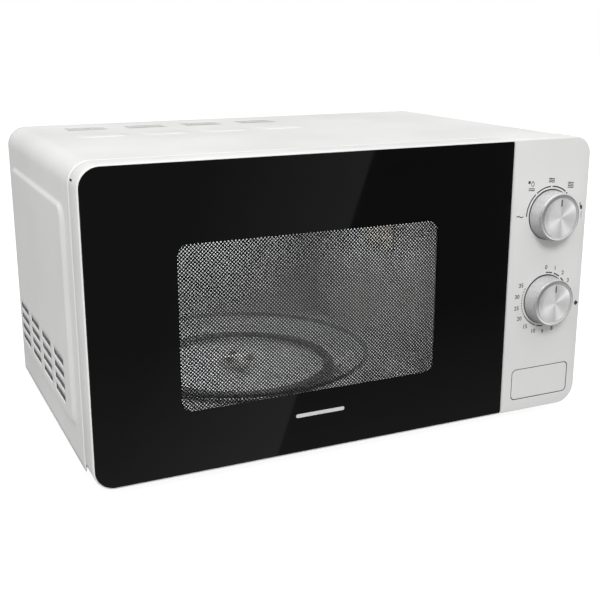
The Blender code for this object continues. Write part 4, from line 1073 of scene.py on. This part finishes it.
def buildRollerRing(spec):
    inner, outer = spec["ring"]
    high = spec["axleZ"]
    profile = [(outer, high + 1.1), (outer - 0.5, high + 1.6), (inner + 0.5, high + 1.6),
               (inner, high + 1.1), (inner, high - 1.1), (inner + 0.5, high - 1.6),
               (inner + 2.5, high - 1.6), (inner + 2.9, high - 0.6), (outer - 2.9, high - 0.6),
               (outer - 2.5, high - 1.6), (outer - 0.5, high - 1.6), (outer, high - 1.1)]
    parts = [spun(profile, (oven["tableX"], oven["tableY"], 0.0), steps=120)]
    for index in range(3):
        angle = math.radians(-30.0 + 120.0 * index)
        along = (math.cos(angle), math.sin(angle), 0.0)
        pin = [(0, 91.5), (1.4, 91.5), (1.4, 100.6), (1.1, 100.9), (0, 100.9)]
        parts.append(spun(pin, (oven["tableX"], oven["tableY"], high), along, 20))
    return gather(parts)


makePiece("roller_track_ring", *buildRollerRing(roller), brownNylon, "ring", ("roller_ring",),
          "dark_plastic")
for index, wheelBody in enumerate(("roller_a", "roller_b", "roller_c")):
    angle = math.radians(-30.0 + 120.0 * index)
    along = (math.cos(angle), math.sin(angle), 0.0)
    size = roller["wheel"]
    tyre = [(size - 0.5, 2.6), (size - 0.12, 2.35), (size, 1.9), (size, -1.9),
            (size - 0.12, -2.35), (size - 0.5, -2.6), (3.9, -2.6), (3.6, -2.1), (2.7, -2.1),
            (2.5, -2.6), (1.75, -2.6), (1.75, 2.6), (2.5, 2.6), (2.7, 2.1), (3.6, 2.1),
            (3.9, 2.6)]
    where = (oven["tableX"] + roller["wheelRing"] * along[0],
             oven["tableY"] + roller["wheelRing"] * along[1], roller["axleZ"])
    makePiece("wheel_%d" % (index + 1), *spun(tyre, where, along, 40), naturalNylon,
              wheelBody, ("roller_wheel_%d" % (index + 1),), "natural_plastic")

# Feet, screws and the bushing at the back
foot = {"profile": [(0, 12.8), (2.2, 12.8), (2.2, 9.9), (11.4, 9.9), (12.0, 9.4), (12, 8.5),
                    (10.7, 1.2), (10.2, 0.35), (9.5, 0), (6.4, 0.0), (6.0, 0.5), (0, 0.5)]}
for footName, footX, footY in (("front_left", -188, -92), ("front_right", 188, -92),
                               ("rear_left", -188, 108), ("rear_right", 188, 108)):
    makePiece("pad_" + footName, *spun(foot["profile"], (footX, footY, 0), steps=56),
              blackRubber, "root", ("foot_" + footName,), "rubber")
bushing = {"profile": [(7.6, 3.3), (8.0, 2.9), (8.0, 0.3), (5.7, 0.3), (5.7, -1.1),
                       (8.0, -1.1), (8.0, -3.4), (3.6, -3.4), (3.6, 3.0), (4.0, 3.3)]}
makePiece("bushing", *spun(bushing["profile"], (196, oven["caseBackY"], 40), (0, 1, 0), 48),
          blackRubber, "root", ("cord_bushing",), "rubber")
screw = {"profile": [(0, 2.6), (1.2, 2.58), (2.2, 2.4), (3.0, 2.0), (3.5, 1.5), (3.8, 0.9),
                     (3.8, 0.3), (1.5, 0.3), (1.5, -6.0), (0.8, -8.0), (0, -8.0)],
         "recess": (3.2, 0.75, 1.5)}
for number, (screwX, screwZ) in enumerate(((-212, 60), (212, 60), (-212, 215), (212, 215)), 1):
    head = spun(screw["profile"], (screwX, oven["caseBackY"], screwZ), (0, 1, 0), 32)
    long, wide, deep = screw["recess"]
    faceY = oven["caseBackY"] + 2.6
    cross = [softBlock((screwX - long / 2, faceY - deep, screwZ - wide / 2),
                       (screwX + long / 2, faceY + 1, screwZ + wide / 2), 0.0),
             softBlock((screwX - wide / 2, faceY - deep, screwZ - long / 2),
                       (screwX + wide / 2, faceY + 1.01, screwZ + long / 2), 0.0)]
    makePiece("screw_head_%d" % number, *carved(carved(head, cross[:1]), cross[1:]), zincSheet,
              "root", ("case_screw_%d" % number,), "chassis_steel")
print("small parts built")

# The rest of the chassis keeps its own shapes: each gets its finish and a weld, and the listed
# kinds get softened edges
finishes = {
    "panel_plastic": panelPlastic, "chassis_steel": zincSheet, "cavity_enamel": cavityEnamel,
    "clear_film": polyesterSheet, "dark_plastic": darkNylonAndShadow, "natural_plastic": naturalNylon,
    "mica": micaSheet, "aluminium": drawnAluminium, "core_iron": coreIron,
    "copper": copperWire, "board": boardLaminate, "lamp_glass": lampGlass,
}
softened = {"panel_plastic": 0.35, "chassis_steel": 0.15, "cavity_enamel": 0.12,
            "dark_plastic": 0.2, "natural_plastic": 0.25, "aluminium": 0.12,
            "open_button": 0.6}
slotOf = {part["node"]: part["material_slot"] for part in frame["record"]["subparts"]}
for name, node in frame["nodes"].items():
    if node.hide_render:
        continue
    kind = slotOf[name]
    if not node.material_slots:
        node.data.materials.append(finishes[kind])
    for place in node.material_slots:
        place.material = finishes[kind]
    weld = node.modifiers.new("weld", "WELD")
    weld.merge_threshold = 0.000002
    if kind in softened:
        edge = node.modifiers.new("edge", "BEVEL")
        edge.width = softened.get(name, softened[kind]) * 0.001
        edge.segments = 2
        edge.limit_method = "ANGLE"
        edge.angle_limit = math.radians(40)
        edge.use_clamp_overlap = True
print("chassis finished")

# Stage: pale floor that glows a little, so the shade under the feet stays light
studio = {
    "floorGlow": 0.86, "floorShade": 0.22, "sky": 1.0,
    "zenith": 1.6, "horizon": 0.2, "zenithPower": 3.0, "lower": 0.3, "nadir": 0.95,
}
floorVerts = [(-9, -9, 0), (9, -9, 0), (9, 9, 0), (-9, 9, 0)]
floorMesh = bpy.data.meshes.new("floor")
floorMesh.from_pydata(floorVerts, [], [(0, 1, 2, 3)])
floor = bpy.data.objects.new("floor", floorMesh)
scene.collection.objects.link(floor)
# Matt white paper sweep
paper, paperTree = newMaterial("matt white paper")
paperPlace = addNode(paperTree, "TexCoord").outputs["Object"]
paperGrain = addNode(paperTree, "TexNoise", Vector=paperPlace, Scale=400.0)
paperTone = addNode(paperTree, "ValToRGB", Fac=paperGrain.outputs["Fac"])
for stop, share in zip(paperTone.color_ramp.elements, (0.98, 1.0)):
    stop.color = (*[studio["floorShade"] * share] * 3, 1.0)
surfaced(paper, paperTree, Base_Color=paperTone.outputs["Color"], Roughness=0.9,
         Emission_Color=(1.0, 1.0, 1.0, 1.0), Emission_Strength=studio["floorGlow"])
floorMesh.materials.append(paper)
floor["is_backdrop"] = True
floor.visible_glossy = False
floor.visible_diffuse = False

# Sky: a large soft source overhead that fades to the horizon, plain white where it is seen
world = bpy.data.worlds.new("studio sky")
scene.world = world
world.use_nodes = True
tree = world.node_tree
tree.nodes.clear()
direction = addNode(tree, "TexCoord").outputs["Generated"]
height = addNode(tree, "SeparateXYZ", Vector=direction).outputs["Z"]
peak = maths(tree, "POWER", maths(tree, "MAXIMUM", height, 0.0), studio["zenithPower"])
above = maths(tree, "MULTIPLY_ADD", peak, studio["zenith"], studio["horizon"])
under = addNode(tree, "MapRange", {"interpolation_type": "SMOOTHSTEP"}, Value=height, i1=-0.9,
                i2=-0.55, i3=studio["nadir"], i4=studio["lower"])
dim = addNode(tree, "Mix", Factor=maths(tree, "LESS_THAN", height, 0.0), i2=above,
              i3=under.outputs[0])
seen = addNode(tree, "LightPath").outputs["Is Camera Ray"]
strength = addNode(tree, "Mix", Factor=seen, i2=dim.outputs[0], i3=studio["sky"])
light = addNode(tree, "Background", Color=(1.0, 1.0, 1.0, 1.0), Strength=strength.outputs[0])
addNode(tree, "OutputWorld", Surface=light.outputs[0])

# Soft boxes: place, target, width and height in metres, watts and colour
softBoxes = {
    "key": ((-0.5, -1.8, 1.5), (0.0, -0.1, 0.13), 0.65, 0.65, 24.5, "#FFFFFF"),
    "front fill": ((0.25, -1.6, 0.1), (0.15, 0.0, 0.1), 0.8, 0.5, 1.4, "#FFFFFF"),
    "left fill": ((-1.6, -0.5, 0.75), (0.0, 0.0, 0.15), 0.9, 0.9, 9.9, "#FFFFFF"),
    "back fill": ((1.3, 1.3, 0.8), (0.0, 0.0, 0.15), 1.0, 1.0, 14.0, "#FFFFFF"),
    "cavity lamp glow": ((-0.06, 0.02, 0.221), (-0.06, 0.02, 0.0), 0.22, 0.2, 1.65, "#FBFBFF"),
}
for name, (place, target, wide, tall, watts, colour) in softBoxes.items():
    lamp = bpy.data.lights.new(name, "AREA")
    lamp.shape = "RECTANGLE"
    lamp.size = wide
    lamp.size_y = tall
    lamp.energy = watts
    lamp.color = linearColour(colour)[:3]
    source = bpy.data.objects.new(name, lamp)
    scene.collection.objects.link(source)
    source.location = place
    aim = Vector(target) - Vector(place)
    source.rotation_euler = aim.to_track_quat("-Z", "Y").to_euler()
    source.visible_camera = False
    source.visible_glossy = False


# Cards that only gloss sees: a dark one with a slanting pale band for the door, a bright one
# beside it for the dials
def reflectorCard(name, corners, strengthNodes):
    mesh = bpy.data.meshes.new(name)
    mesh.from_pydata(corners, [], [(0, 1, 2, 3)])
    card = bpy.data.objects.new(name, mesh)
    scene.collection.objects.link(card)
    made, cardTree = newMaterial(name)
    place = addNode(cardTree, "TexCoord").outputs["Object"]
    glow = addNode(cardTree, "Emission", Strength=strengthNodes(cardTree, place))
    addNode(cardTree, "OutputMaterial", Surface=glow.outputs[0])
    mesh.materials.append(made)
    card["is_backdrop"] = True
    card.visible_camera = False
    card.visible_diffuse = False
    card.visible_transmission = False
    card.visible_volume_scatter = False
    card.visible_shadow = False


# The door card is laid out as its mirror image on the glass, seen from the camera's own
# mirror point behind the front
glassY = oven["frontY"] * 0.001
mirrorSpot = Vector((view["place"][0], 2 * glassY - view["place"][1], view["place"][2]))
cardY = -0.6
reach = (mirrorSpot.y - cardY) / (mirrorSpot.y - glassY)
band = {"slope": 0.349, "shift": -0.08, "fadeOver": 0.14, "pale": (0.2, 0.05),
        "footSpan": (0.02, 0.12), "foot": (0.16, 0.06)}


def onCard(x, z):
    return (mirrorSpot.x + reach * (x * 0.001 - mirrorSpot.x), cardY,
            mirrorSpot.z + reach * (z * 0.001 - mirrorSpot.z))


def doorGlow(cardTree, place):
    axes = addNode(cardTree, "SeparateXYZ", Vector=place)
    across = maths(cardTree, "MULTIPLY_ADD", axes.outputs["X"], 1.0 / reach,
                   mirrorSpot.x - mirrorSpot.x / reach)
    up = maths(cardTree, "MULTIPLY_ADD", axes.outputs["Z"], 1.0 / reach,
               mirrorSpot.z - mirrorSpot.z / reach)
    edge = maths(cardTree, "MULTIPLY_ADD", up, band["slope"], band["shift"])
    gap = maths(cardTree, "SUBTRACT", edge, across)
    fade = addNode(cardTree, "MapRange", Value=gap, i1=0.0, i2=band["fadeOver"],
                   i3=band["pale"][0], i4=band["pale"][1])
    pale = maths(cardTree, "MULTIPLY", maths(cardTree, "GREATER_THAN", gap, 0.0),
                 fade.outputs[0])
    bottom = addNode(cardTree, "MapRange", Value=up, i1=band["footSpan"][0],
                     i2=band["footSpan"][1], i3=band["foot"][0], i4=band["foot"][1])
    return maths(cardTree, "ADD", pale, bottom.outputs[0])


def dialGlow(cardTree, place):
    axes = addNode(cardTree, "SeparateXYZ", Vector=place)
    even = addNode(cardTree, "MapRange", Value=axes.outputs["Z"], i1=-0.5, i2=0.3,
                   i3=0.9, i4=1.2)
    return even.outputs[0]


reflectorCard("door card", [onCard(-260, -20), onCard(146, -20), onCard(146, 290),
                            onCard(-260, 290)], doorGlow)
reflectorCard("dial card", [onCard(150, -300), onCard(700, -300), onCard(700, 330),
                            onCard(150, 330)], dialGlow)
print("studio lit")

size = {"cad": [list(cadBox[0]), list(cadBox[1])]}
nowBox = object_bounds()
size["visual"] = [list(nowBox[0]), list(nowBox[1])]
